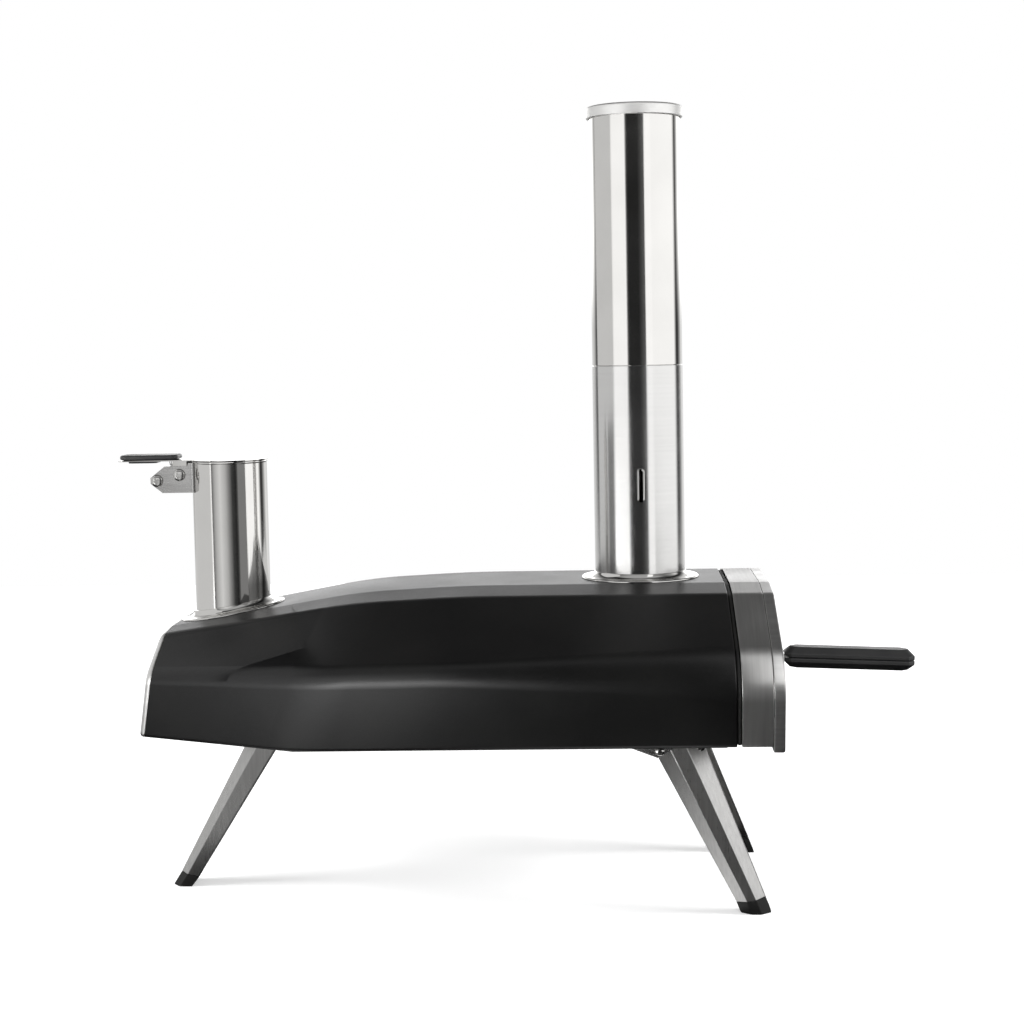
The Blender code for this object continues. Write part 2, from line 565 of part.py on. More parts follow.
def make_lid_bracket():
    """The bracket clamped round the hopper, with two cheeks, and the two bolts through them."""
    low_y, high_y = BRACKET_CHEEK_Y
    inner, outer = HOPPER_RADIUS + GAP, HOPPER_RADIUS + GAP + PLATE_THICKNESS

    def arc(radius, start, end):
        angles = [pi + start + (end - start) * step / 8 for step in range(9)]
        return [(HOPPER_X + radius * cos(angle), radius * sin(angle)) for angle in angles]

    root, end = BRACKET_ROOT_X, BRACKET_END_X
    cheek = [(root, -high_y), (end, -high_y), (end, -low_y), (root, -low_y)]
    between = 0.80 * SADDLE_ANGLE
    outline = arc(inner, -SADDLE_ANGLE, SADDLE_ANGLE) + arc(outer, SADDLE_ANGLE, SADDLE_ANGLE)[:1] + cheek
    outline += arc(outer, between, -between)
    outline += [(x, -y) for x, y in reversed(cheek)] + arc(outer, -SADDLE_ANGLE, -SADDLE_ANGLE)[:1]
    rings = [[(x, y, z) for x, y in outline] for z in BRACKET_Z]
    bracket = piece("lid_bracket", loft(rings), "brushed_steel")
    combine(bracket, piece("bracket_outline", prism_y(BRACKET_OUTLINE, -0.030, 0.030), None), "INTERSECT")
    near = high_y + GAP
    profile = [(0, -near - 0.0034), (0.0030, -near - 0.0031), (0.0048, -near - 0.0021),
               (BOLT_HEAD_RADIUS, -near), (BOLT_RADIUS, -near), (BOLT_RADIUS, near), (0.0048, near),
               (0.0048, near + 0.0030), (0, near + 0.0030)]
    for name, x, z in (("lid_pivot_bolt", PIVOT_X, PIVOT_Z), ("lid_stop_bolt", STOP_X, STOP_Z)):
        piece(name, turned(profile, 16, facing_y(x, z)), "polished_steel")
        combine(bracket, bolt_bore(f"{name}_hole", x, z))


def bolt_bore(name, x, z):
    """A hole along y for one of the lid's bolts."""
    radius = BOLT_RADIUS + GAP
    profile = [(0, -0.03), (radius, -0.03), (radius, 0.03), (0, 0.03)]
    return piece(name, turned(profile, 16, facing_y(x, z)), None)


def make_lid():
    """The hopper's lid: a disc with a tongue and two ears, its hand pad, bumper and spring."""
    pivot = bpy.data.objects.new("lid_pivot", None)
    pivot.location = (PIVOT_X, 0, PIVOT_Z)
    bpy.context.collection.objects.link(pivot)
    half, corner, steps = TONGUE_HALF_WIDTH, 0.005, 32
    opening = pi - asin(half / LID_RADIUS)
    angles = [opening * (2 * step / steps - 1) for step in range(steps + 1)]
    outline = [(HOPPER_X + LID_RADIUS * cos(angle), LID_RADIUS * sin(angle)) for angle in angles]
    outline += [(TONGUE_END_X + corner, half), (TONGUE_END_X, half - corner), (TONGUE_END_X, corner - half),
                (TONGUE_END_X + corner, -half)]
    disc = loft([[(x, y, z) for x, y in outline] for z in LID_Z])
    lid = piece("hopper_lid", disc, "polished_steel", pivot.location)
    hang(lid, pivot)
    for side, sign in (("left", 1), ("right", -1)):
        low, high = sorted((sign * EAR_Y[0], sign * EAR_Y[1]))
        combine(lid, piece(f"ear_{side}", prism_y(EAR_OUTLINE, low, high), None), "UNION")
    combine(lid, bolt_bore("ear_bore", PIVOT_X, PIVOT_Z))

    pad = soft_box((PAD_X[0], -PAD_HALF_WIDTH, PAD_Z[0]), (PAD_X[1], PAD_HALF_WIDTH, PAD_Z[1]), 0.0016)
    hang(piece("lid_handle_pad", pad, "black_plastic", pivot.location), pivot)
    clamp = box((CLAMP_X[0], -0.012, CLAMP_Z[0]), (CLAMP_X[1], 0.012, CLAMP_Z[1]))
    hang(piece("lid_handle_clamp", clamp, "black_plastic", pivot.location), pivot)
    bumper = box((BUMPER_X[0], -0.006, BUMPER_FOOT_Z), (BUMPER_X[1], 0.006, LID_Z[0] - GAP))
    hang(piece("lid_bumper", bumper, "rubber", pivot.location), pivot)

    per_turn = 8
    path = []
    for step in range(COIL_TURNS * per_turn + 1):
        angle = 2 * pi * step / per_turn
        x = COIL_X[0] + (COIL_X[1] - COIL_X[0]) * step / (COIL_TURNS * per_turn)
        spot = Vector((x, COIL_RADIUS * cos(angle), COIL_Z + COIL_RADIUS * sin(angle)))
        path.append(spot - pivot.location)
    spring = wire("lid_spring", path, COIL_WIRE, 0)
    spring.location = pivot.location
    hang(spring, pivot)


def soft_box(low, high, radius):
    """A box with all its edges rounded over."""
    bm = box(low, high)
    bmesh.ops.bevel(bm, geom=bm.edges[:], offset=radius, segments=2, profile=0.5, affect="EDGES")
    return bm


def make_door():
    """The door pan, its inner plate, and the two-part handle on a steel tang."""
    origin = (DOOR_X[0], 0, BASE_Z)
    outside = [stand(front_ring(0.0, DOOR_DROP), x, FRONT_LEAN) for x in DOOR_X]
    door = piece("door_panel", loft(outside), "brushed_steel", origin)
    hollow_x = (DOOR_X[0] - 0.010, DOOR_X[1] - BAND_THICKNESS)
    hollow = [stand(front_ring(BAND_THICKNESS, DOOR_DROP), x, FRONT_LEAN) for x in hollow_x]
    combine(door, piece("door_hollow", loft(hollow), None))

    plate_x = (DOOR_X[0] + 0.0012, DOOR_X[0] + 0.0012 + PLATE_THICKNESS)
    rings = [stand(ring(MOUTH_SECTION, -0.004), x, FRONT_LEAN) for x in plate_x]
    hang(piece("door_inner_plate", loft(rings), "dark_steel", origin), door)

    face_x = DOOR_X[1] + (HANDLE_ROOT_Z - BASE_Z) * FRONT_LEAN + GAP
    slant = Matrix.Translation((HANDLE_X[0], 0, HANDLE_ROOT_Z)) @ Matrix.Rotation(HANDLE_DROOP, 4, "Y")
    length = (HANDLE_X[1] - HANDLE_X[0]) / cos(HANDLE_DROOP) - HANDLE_HALF_HEIGHT * tan(HANDLE_DROOP)
    pocket_end = TANG_END_X - HANDLE_X[0] + 0.001
    for name, sign in (("door_handle_upper", 1), ("door_handle_lower", -1)):
        near, far = sign * 0.00015, sign * HANDLE_HALF_HEIGHT
        rings = []
        for z, shrink in ((near, 0.0), (far - sign * HANDLE_CHAMFER, 0.0), (far, HANDLE_CHAMFER)):
            rings.append(handle_outline(length, HANDLE_HALF_WIDTH, shrink, z))
        bm = loft(rings)
        bmesh.ops.transform(bm, matrix=slant, verts=bm.verts)
        half = piece(name, bm, "black_plastic", origin)
        hang(half, door)
        reach = TANG_HALF_HEIGHT + GAP
        pocket = box((-0.01, -TANG_HALF_WIDTH - GAP, -reach), (pocket_end, TANG_HALF_WIDTH + GAP, reach))
        bmesh.ops.transform(pocket, matrix=slant, verts=pocket.verts)
        combine(half, piece(f"{name}_pocket", pocket, None))
        if sign < 0:
            add_handle_screws(half, door, slant, origin)

    start = face_x - HANDLE_X[0]
    tang = box((start + 0.0006, -TANG_HALF_WIDTH, -TANG_HALF_HEIGHT),
               (TANG_END_X - HANDLE_X[0], TANG_HALF_WIDTH, TANG_HALF_HEIGHT))
    bmesh.ops.transform(tang, matrix=slant, verts=tang.verts)
    tang = piece("door_tang", tang, "brushed_steel", origin)
    hang(tang, door)
    (low, high), side = TANG_FOOT_Z, TANG_FOOT_HALF_WIDTH
    corners = [(side, high), (-side, high), (-side, low), (side, low)]
    rings = [[(x + (z - HANDLE_ROOT_Z) * FRONT_LEAN, y, z) for y, z in corners]
             for x in (face_x, face_x + TANG_FOOT_THICKNESS)]
    combine(tang, piece("tang_foot", loft(rings), None), "UNION")


def handle_outline(length, half_width, shrink, z):
    """The handle's long octagon, as seen from above."""
    end, side, cut = length - shrink, half_width - shrink, 0.0060
    start = shrink
    return [(start + cut, -side, z), (end - cut, -side, z), (end, cut - side, z), (end, side - cut, z),
            (end - cut, side, z), (start + cut, side, z), (start, side - cut, z), (start, cut - side, z)]


def add_handle_screws(half, door, slant, origin):
    """Two screws from below that hold the halves on the tang."""
    for index, x in enumerate((0.030, 0.078)):
        base, top = -HANDLE_HALF_HEIGHT, -TANG_HALF_HEIGHT - GAP
        low, high = base - 0.002, top + 0.001
        bore = turned([(0, low), (0.0034, low), (0.0034, high), (0, high)], 12)
        bmesh.ops.transform(bore, matrix=slant @ Matrix.Translation((x, 0, 0)), verts=bore.verts)
        combine(half, piece(f"screw_bore_{index}", bore, None))
        screw = turned([(0, base + 0.0010), (0.0024, base + 0.0010), (0.0030, base + 0.0024),
                        (0.0030, top - 0.0003), (0, top - 0.0003)], 12)
        bmesh.ops.transform(screw, matrix=slant @ Matrix.Translation((x, 0, 0)), verts=screw.verts)
        hang(piece(f"handle_screw_{index + 1}", screw, "polished_steel", origin), door)


def leg_outline(width, thickness):
    """Half-open channel of five panels: (across, depth) from one free edge round to the other."""
    web, chamfer = width / 6, LEG_CHAMFER_SHARE * width
    depth = chamfer + LEG_SIDE_SHARE * width
    half = width / 2
    corners = [(half, depth), (half, chamfer), (web, 0), (-web, 0), (-half, chamfer), (-half, depth)]
    points = inset([Vector((0, -across, -deep)) for across, deep in corners], -thickness, closed=False)
    return [(-p.y, -p.z) for p in points]


def leg_station(level, thickness, place):
    """The channel's outline at the top (level 0) or at the foot (level 1)."""
    points = []
    for across, deep in leg_outline(LEG_WIDTHS[level], thickness):
        x, y = place(level, across, deep)
        points.append([x, y, LEG_Z[level]])
    return points


def front_place(side):
    def place(level, across, deep):
        return FRONT_LEG_X[level] + across, side * (FRONT_LEG_Y[level] - deep)
    return place


def rear_place(level, across, deep):
    return REAR_LEG_X[level] + deep, across


def make_leg(name, place, pivot_x, slope):
    """One leg with its rubber foot, on an empty at its fold axis."""
    pivot = bpy.data.objects.new(f"{name}_pivot", None)
    pivot.location = (pivot_x, 0, LEG_PIVOT_Z)
    bpy.context.collection.objects.link(pivot)
    outers = [leg_station(level, 0.0, place) for level in (0, 1)]
    inners = [leg_station(level, LEG_THICKNESS, place) for level in (0, 1)]
    centre = sum(point[0] for point in outers[1]) / len(outers[1])
    for row in (outers[1], inners[1]):
        for point in row:
            lift = slope * (point[0] - centre)
            along = (outers[0][0][0] - outers[1][0][0]) / (LEG_Z[0] - LEG_Z[1])
            point[2] += lift
            point[0] += lift * along
    leg = piece(name, sheet(outers, inners, closed=False), "brushed_steel", pivot.location)
    hang(leg, pivot)
    bore = [(0, -0.2), (PIN_RADIUS + GAP, -0.2), (PIN_RADIUS + GAP, 0.2), (0, 0.2)]
    combine(leg, piece(f"{name}_bore", turned(bore, 12, facing_y(pivot_x, LEG_PIVOT_Z)), None))

    top = [(x, y, z - GAP) for x, y, z in outers[1]]
    lean = (outers[1][0][0] - outers[0][0][0]) / (LEG_Z[0] - LEG_Z[1])
    sole = [(x + z * lean, y, 0.0) for x, y, z in top]
    cap = piece(f"{name}_foot", loft([sole, top]), "rubber", pivot.location)
    hang(cap, pivot)


def make_leg_bracket(name, outline, cheeks, flange, pivot_x, pin_ends, head_sign):
    """The folded bracket under the body, and the pin that the leg swings on."""
    low, high = flange
    top = BRACKET_TOP_Z
    bracket = piece(name, box((low[0], low[1], top - BRACKET_THICKNESS), (high[0], high[1], top)),
                    "brushed_steel")
    for index, (near, far) in enumerate(cheeks):
        cheek = piece(f"{name}_cheek_{index}", prism_y(outline, *sorted((near, far))), None)
        combine(bracket, cheek, "UNION")
    bore = [(0, -0.2), (PIN_RADIUS + GAP, -0.2), (PIN_RADIUS + GAP, 0.2), (0, 0.2)]
    combine(bracket, piece(f"{name}_bore", turned(bore, 12, facing_y(pivot_x, LEG_PIVOT_Z)), None))
    near, far = pin_ends
    profile = [(0, near - 0.0022), (0.0026, near - 0.0018), (PIN_HEAD_RADIUS, near), (PIN_RADIUS, near),
               (PIN_RADIUS, far), (0.0034, far), (0.0034, far + 0.0015), (0, far + 0.0015)]
    pin = turned(profile, 12, facing_y(pivot_x, LEG_PIVOT_Z, sign=head_sign))
    piece(name.replace("bracket", "pin"), pin, "polished_steel")


def make_legs():
    top = BRACKET_TOP_Z - 0.0005
    front_cheek = [(0.1010, top), (0.1044, 0.1500), (0.1275, 0.1412), (0.1300, 0.1412), (0.1410, 0.1490),
                   (0.1470, top)]
    for side, sign in (("left", 1), ("right", -1)):
        name = f"front_{side}_leg"
        make_leg(name, front_place(sign), FRONT_PIVOT_X, LEG_CUT_SLOPE)
        outer = FRONT_LEG_Y[0] + SPLAY_CLEARANCE
        cheek = (sign * outer, sign * (outer + BRACKET_THICKNESS))
        low, high = sorted((sign * (outer + BRACKET_THICKNESS), sign * 0.078))
        flange = ((0.0990, low), (0.1760, high))
        pin_ends = (-(outer + BRACKET_THICKNESS + GAP), -0.0945)
        make_leg_bracket(f"{name}_bracket", front_cheek, [cheek], flange, FRONT_PIVOT_X, pin_ends, -sign)
    make_leg("rear_leg", rear_place, REAR_PIVOT_X, -LEG_CUT_SLOPE)
    rear_cheek = [(-0.2080, top), (-0.2160, 0.1440), (-0.2210, 0.1400), (-0.2300, 0.1400), (-0.2400, 0.1460),
                  (-0.2520, top)]
    outer = LEG_WIDTHS[0] / 2 + GAP
    cheeks = [(sign * outer, sign * (outer + BRACKET_THICKNESS)) for sign in (1, -1)]
    flange = ((-0.2540, -0.034), (-0.2060, 0.034))
    reach = outer + BRACKET_THICKNESS + GAP
    make_leg_bracket("rear_leg_bracket", rear_cheek, cheeks, flange, REAR_PIVOT_X, (-reach, reach), 1)


def main():
    for item in list(bpy.data.objects):
        bpy.data.objects.remove(item, do_unlink=True)
    make_shell()
    make_bottom_plate()
    make_front()
    make_rear()
    make_chamber()
    make_burner()
    make_chimney()
    make_hopper()
    make_lid_bracket()
    make_lid()
    make_door()
    make_legs()


main()
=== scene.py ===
import json
from math import asin, atan, cos, pi, radians, sin, tan

import bmesh
import bpy
from mathutils import Matrix, Vector


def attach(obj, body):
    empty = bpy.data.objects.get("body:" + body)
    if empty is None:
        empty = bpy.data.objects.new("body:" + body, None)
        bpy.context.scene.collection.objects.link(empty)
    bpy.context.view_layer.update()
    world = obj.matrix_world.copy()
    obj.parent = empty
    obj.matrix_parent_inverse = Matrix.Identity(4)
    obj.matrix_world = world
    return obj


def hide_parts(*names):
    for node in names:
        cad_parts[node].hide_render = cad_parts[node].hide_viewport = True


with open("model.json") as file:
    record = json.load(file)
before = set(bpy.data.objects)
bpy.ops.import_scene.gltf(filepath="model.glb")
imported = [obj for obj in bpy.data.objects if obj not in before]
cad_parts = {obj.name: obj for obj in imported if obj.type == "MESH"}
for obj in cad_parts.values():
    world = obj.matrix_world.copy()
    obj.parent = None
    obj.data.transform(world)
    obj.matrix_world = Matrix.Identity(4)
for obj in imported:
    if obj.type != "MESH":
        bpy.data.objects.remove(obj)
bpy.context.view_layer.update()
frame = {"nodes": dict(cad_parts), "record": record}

GAP = 0.0003
PLATE = 0.0012
SIDES = (("left", 1), ("right", -1))

# The body's hexagonal sections as (half-width, height) of the roof, roof crease, side crease and bottom.
BASE_Z = 0.160
MAIN_SECTION = ((0.055, 0.290), (0.097, 0.285), (0.2006, 0.234), (0.165, BASE_Z))
TAPER_SECTION = ((0.055, 0.2855), (0.097, 0.2805), (0.1995, 0.233), (0.165, BASE_Z))
REAR_SECTION = ((0.044, 0.2550), (0.076, 0.2520), (0.112, 0.220), (0.095, BASE_Z))
MOUTH_SECTION = ((0.050, 0.2690), (0.088, 0.2670), (0.172, 0.2280), (0.160, 0.1885))
CREASE_RADII = (0.030, 0.020, 0.016, 0.006)
FRONT_RADII = (0.030, 0.020, 0.036, 0.006)
CREASE_STEPS = 8
SHELL_THICKNESS, SHELL_LIP = 0.0010, 0.014
FRONT_LEAN = -0.024
TAPER_X, TAPER_LEAN = -0.190, 0.40
REAR_X, REAR_LEAN = -0.335, 0.200
RIDGE_X = -0.045
TAPER_BLEND = 0.030
SHELL_FRONT_X = 0.1950
BAND_X = (0.1995, 0.2262)
DOOR_X = (0.2265, 0.2360)
DOOR_DROP = 0.0050
REAR_PANEL_DEPTH = 0.0050
AIR_HOLE_Z, AIR_HOLE_RADIUS, AIR_HOLE_PITCH, AIR_HOLES = 0.2460, 0.0028, 0.0160, 5
BOTTOM_SCREWS = ((-0.294, 0.070), (-0.117, 0.125))
HATCH_OPENING, RIM_INSET = 0.064, 0.0001
HATCH_Z, HATCH_HALF_WIDTH, HATCH_CORNER = (0.172, 0.240), 0.074, 0.005
HATCH_GRIP_Z, HATCH_GRIP_LENGTH, HATCH_GRIP_HALF_WIDTH = 0.2030, 0.0125, 0.020
REAR_SCREW_Y, REAR_SCREW_Z = 0.0865, (("upper", 0.214), ("lower", 0.186))

CHIMNEY_X, TUBE_WALL, CHIMNEY_RADIUS = 0.1165, 0.0008, 0.0418
CHIMNEY_FOOT_Z, CHIMNEY_SEAM_Z, CHIMNEY_TOP_Z = 0.2903, 0.487, 0.7215
CAP_RADIUS, CAP_TOP_Z, CAP_RIM = 0.0443, 0.7235, 0.0105
OUTLET_RADIUS = 0.0403
CHIMNEY_FLANGE_RADIUS = 0.0545
CLIP_X, CLIP_Z, CLIP_HALF_WIDTH, CLIP_WIRE = 0.1177, (0.3640, 0.3930), 0.0026, 0.0009
SLOT_MARGIN = 0.0006

HOPPER_X, HOPPER_RADIUS, HOPPER_FLANGE_RADIUS = -0.2677, 0.0349, 0.0490
HOPPER_FOOT_Z, HOPPER_TOP_Z = 0.2438, 0.4052
LID_Z, LID_RADIUS = (0.4056, 0.4066), 0.0357
TONGUE_END_X, TONGUE_HALF_WIDTH = -0.3705, 0.0152
PAD_X, PAD_Z, PAD_HALF_WIDTH = (-0.3692, -0.3143), (0.4069, 0.4115), 0.0150
CLAMP_X, CLAMP_Z = (-0.3615, -0.3345), (0.4039, 0.4053)
PIVOT_X, PIVOT_Z = -0.3118, 0.3929
STOP_X, STOP_Z = -0.3329, 0.3878
BRACKET_CHEEK_Y, BRACKET_Z = (0.0166, 0.0178), (0.3762, 0.4040)
BRACKET_END_X, BRACKET_ROOT_X, SADDLE_ANGLE = -0.3400, -0.3009, 0.56
BRACKET_OUTLINE = ((-0.2800, 0.3750), (-0.2800, 0.4050), (-0.3030, 0.4050), (-0.3040, 0.4010),
                   (-0.3255, 0.4010), (-0.3390, 0.3905), (-0.3390, 0.3850), (-0.3265, 0.3750))
EAR_Y = (0.0140, 0.0152)
EAR_OUTLINE = ((-0.3185, 0.4061), (-0.3052, 0.4061), (-0.3052, 0.3905), (-0.3085, 0.3870),
               (-0.3150, 0.3870), (-0.3185, 0.3905))
BUMPER_X, BUMPER_FOOT_Z = (-0.3065, -0.3042), 0.4008
COIL_X, COIL_Z, COIL_RADIUS, COIL_WIRE, COIL_TURNS = (-0.3245, -0.3070), 0.4030, 0.0014, 0.0004, 12
BOLT_RADIUS, BOLT_HEAD_RADIUS = 0.0025, 0.0058

HANDLE_X = (0.2495, 0.3705)
HANDLE_ROOT_Z, HANDLE_DROOP = 0.2134, 0.0415
HANDLE_HALF_WIDTH, HANDLE_HALF_HEIGHT, HANDLE_CHAMFER, HANDLE_CORNER = 0.0140, 0.0098, 0.0058, 0.0060
TANG_HALF_WIDTH, TANG_HALF_HEIGHT, TANG_END_X = 0.0085, 0.0012, 0.3350
TANG_FOOT_HALF_WIDTH, TANG_FOOT_Z, TANG_FOOT_THICKNESS = 0.0130, (0.2025, 0.2245), 0.0015
HANDLE_SCREWS, SCREW_WELL_RADIUS, SCREW_WELL_DEPTH = (0.030, 0.078), 0.0034, 0.0026

LEG_Z, LEG_WIDTHS = (0.1520, 0.0125), (0.0470, 0.0276)
LEG_CHAMFER_SHARE, LEG_SIDE_SHARE, LEG_THICKNESS, LEG_FOLD_RADIUS = 0.28, 0.42, 0.0015, 0.0022
LEG_CUT_SLOPE = 0.17
FRONT_LEG_X, FRONT_LEG_Y = (0.1450, 0.2092), (0.1106, 0.1180)
REAR_LEG_X = (-0.2503, -0.3250)
FRONT_PIVOT_X, REAR_PIVOT_X, LEG_PIVOT_Z = 0.1300, -0.2255, 0.1470
PIN_RADIUS, PIN_HEAD_RADIUS = 0.0020, 0.0042
BRACKET_TOP_Z, BRACKET_THICKNESS, SPLAY_CLEARANCE = 0.1582, 0.0012, 0.0021
LEG_RIVET_X, LEG_RIVET_Y, LEG_RIVET_Z = 0.1660, 0.1025, 0.1484

body_of = {node: body for body, nodes in frame["record"]["behaviour"]["bodies"].items() for node in nodes}


# Meshes

def quads(bm, first, second, closed=True):
    count = len(first)
    for i in range(count if closed else count - 1):
        j = (i + 1) % count
        bm.faces.new((first[i], first[j], second[j], second[i]))


def loft(rings, around=False):
    """A skin through matching closed outlines, capped at both ends or closed on itself."""
    bm = bmesh.new()
    rows = [[bm.verts.new(point) for point in ring] for ring in rings]
    for first, second in zip(rows, rows[1:]):
        quads(bm, first, second)
    if around:
        quads(bm, rows[-1], rows[0])
    else:
        bm.faces.new(rows[0])
        bm.faces.new(rows[-1])
    return bm


def sheet(outers, inners, closed):
    """A sheet of metal between matching outer and inner outlines at several stations."""
    bm = bmesh.new()
    outer_rows = [[bm.verts.new(point) for point in ring] for ring in outers]
    inner_rows = [[bm.verts.new(point) for point in ring] for ring in inners]
    for rows in (outer_rows, inner_rows):
        for first, second in zip(rows, rows[1:]):
            quads(bm, first, second, closed)
    for end in (0, -1):
        quads(bm, outer_rows[end], inner_rows[end], closed)
        if not closed:
            quads(bm, [row[end] for row in outer_rows], [row[end] for row in inner_rows], closed=False)
    return bm


def moved(bm, matrix):
    bmesh.ops.transform(bm, matrix=matrix, verts=bm.verts)
    return bm


def posed(spot, angle, axis):
    """The matrix that turns a piece about an axis and then moves it to a spot."""
    return Matrix.Translation(spot) @ Matrix.Rotation(angle, 4, axis)


def turned(profile, segments, place=None):
    """A solid turned about the Z axis from a closed (radius, z) outline, then moved by a matrix."""
    bm = bmesh.new()
    rows = []
    for step in range(segments):
        angle = 2 * pi * step / segments
        rows.append([bm.verts.new((r * cos(angle), r * sin(angle), z)) for r, z in profile])
    for i in range(segments):
        quads(bm, rows[i], rows[(i + 1) % segments])
    bmesh.ops.remove_doubles(bm, verts=bm.verts, dist=1e-6)
    on_axis = [edge for edge in bm.edges if not edge.link_faces]
    bmesh.ops.delete(bm, geom=on_axis, context="EDGES")
    return moved(bm, place) if place else bm


def rod(radius, low, high, segments, place=None):
    """A round bar or, with few segments, a prism."""
    return turned([(0, low), (radius, low), (radius, high), (0, high)], segments, place)


def prism_y(outline, low, high):
    return loft([[(x, y, z) for x, z in outline] for y in (low, high)])


def prism_z(outline, low, high):
    return loft([[(x, y, z) for x, y in outline] for z in (low, high)])


def box(low, high):
    corners = [(low[0], low[1]), (high[0], low[1]), (high[0], high[1]), (low[0], high[1])]
    return prism_z(corners, low[2], high[2])


def octagon(low, high, cut):
    """A rectangle between two corners, with its corners cut off."""
    (x0, y0), (x1, y1) = low, high
    return [(x0 + cut, y0), (x1 - cut, y0), (x1, y0 + cut), (x1, y1 - cut),
            (x1 - cut, y1), (x0 + cut, y1), (x0, y1 - cut), (x0, y0 + cut)]


def soft_box(low, high, radius, segments=4):
    """A box with all its edges rounded over."""
    bm = box(low, high)
    bmesh.ops.bevel(bm, geom=bm.edges[:], offset=radius, segments=segments, profile=0.5, affect="EDGES")
    return bm


def soft_slab(along, half, heights, corner, edge):
    """A slab with rounded corners in plan and rounded edges."""
    rings = []
    low, high = heights
    turns = [pi / 2 * i / 5 for i in range(6)]
    levels = [(low + edge * (1 - sin(t)), edge * (1 - cos(t))) for t in reversed(turns)]
    levels += [(high - edge * (1 - sin(t)), edge * (1 - cos(t))) for t in turns]
    for z, shrink in levels:
        radius = corner - shrink
        outline = []
        for x, y, start in ((along[1] - corner, half - corner, 0),
                            (along[0] + corner, half - corner, pi / 2),
                            (along[0] + corner, corner - half, pi),
                            (along[1] - corner, corner - half, 1.5 * pi)):
            outline += [(x + radius * cos(start + t), y + radius * sin(start + t), z) for t in turns]
        rings.append(outline)
    return loft(rings)


def facing_y(x, z, y=0.0, sign=1):
    """Turns the Z axis of a turned solid to point along y, at (x, y, z)."""
    return posed((x, y, z), -sign * pi / 2, "X")


def join(*parts):
    """Several separate meshes as one bmesh."""
    whole = bmesh.new()
    for part in parts:
        mesh = bpy.data.meshes.new("part")
        part.to_mesh(mesh)
        part.free()
        whole.from_mesh(mesh)
        bpy.data.meshes.remove(mesh)
    return whole


def put(name, data):
    """A new object in the scene."""
    result = bpy.data.objects.new(name, data)
    bpy.context.collection.objects.link(result)
    return result


def panel(name, corners):
    """A flat four-cornered panel."""
    mesh = bpy.data.meshes.new(name)
    mesh.from_pydata(corners, [], [(0, 1, 2, 3)])
    return put(name, mesh)


def solid(name, bm):
    """A new object made from a bmesh, its faces turned outward."""
    bmesh.ops.recalc_face_normals(bm, faces=bm.faces)
    mesh = bpy.data.meshes.new(name)
    bm.to_mesh(mesh)
    bm.free()
    return put(name, mesh)


def combine(bm, *tools, operation="DIFFERENCE"):
    """The mesh cut by, joined with or kept inside each tool."""
    target, others = solid("helper", bm), [solid("helper", tool) for tool in tools]
    for other in others:
        modifier = target.modifiers.new("combine", "BOOLEAN")
        modifier.operation, modifier.object = operation, other
    evaluated = target.evaluated_get(bpy.context.evaluated_depsgraph_get())
    mesh = bpy.data.meshes.new_from_object(evaluated)
    result = bmesh.new()
    result.from_mesh(mesh)
    for item in [target] + others:
        bpy.data.objects.remove(item)
    bpy.data.meshes.remove(mesh)
    return result


def build(name, bm, look, node, bevel=0.0, crease=35, extra=False):
    """A shown piece that rides with a CAD node's body and, unless it is extra, stands for that node."""
    result = solid(name, bm)
    result.data.shade_smooth()
    result.data.set_sharp_from_angle(angle=radians(crease))
    result.data.materials.append(LOOKS[look])
    if bevel:
        modifier = result.modifiers.new("bevel", "BEVEL")
        modifier.width, modifier.segments = bevel, 2
        modifier.limit_method, modifier.angle_limit = "ANGLE", radians(crease)
        modifier.harden_normals = False
    weighted = result.modifiers.new("normals", "WEIGHTED_NORMAL")
    weighted.keep_sharp, weighted.weight = True, 60
    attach(result, body_of[node])
    if not extra:
        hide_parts(node)
    return result


# Outlines of the body

def hexagon(section):
    """A section's corners, from its bottom edge at +y over the roof to its bottom edge at -y."""
    side = [Vector((0, y, z)) for y, z in reversed(section)]
    return side + [Vector((0, -p.y, p.z)) for p in reversed(side)]


def inset(outline, distance, closed):
    """The outline moved inward by a distance."""
    count = len(outline)
    result = []
    for i, corner in enumerate(outline):
        normals = []
        for a, b in ((i - 1, i), (i, i + 1)):
            if closed or (a >= 0 and b < count):
                along = (outline[b % count] - outline[a]).normalized()
                normals.append(Vector((0, -along.z, along.y)))
        total = sum(normals, Vector())
        result.append(corner + total * distance / (1 + normals[0].dot(normals[-1])) * (3 - len(normals)))
    return result


def rounded(outline, radii, closed, steps=CREASE_STEPS):
    """The outline with each corner replaced by an arc."""
    count = len(outline)
    result = []
    for i, corner in enumerate(outline):
        if radii[i] <= 0:
            result.append(corner)
            continue
        before = (outline[i - 1] - corner).normalized()
        after = (outline[(i + 1) % count] - corner).normalized()
        half = before.angle(after) / 2
        centre = corner + (before + after).normalized() * radii[i] / sin(half)
        start = corner + before * radii[i] / tan(half) - centre
        end = corner + after * radii[i] / tan(half) - centre
        for step in range(steps + 1):
            result.append(centre + start.slerp(end, step / steps).normalized() * radii[i])
    return result


def ring(section, distance, drop=0.0, radii=CREASE_RADII):
    """A section's rounded closed outline, moved inward, its bottom lowered by drop."""
    lowered = section[:-1] + ((section[-1][0], section[-1][1] - drop),)
    corners = inset(hexagon(lowered), distance, closed=True)
    side = [max(radius - distance, 0.002) for radius in reversed(radii)]
    return rounded(corners, side + side[::-1], closed=True)


def stand(outline, foot_x, lean):
    """The outline placed on a leaning cross plane."""
    return [Vector((foot_x + (p.z - BASE_Z) * lean, p.y, p.z)) for p in outline]


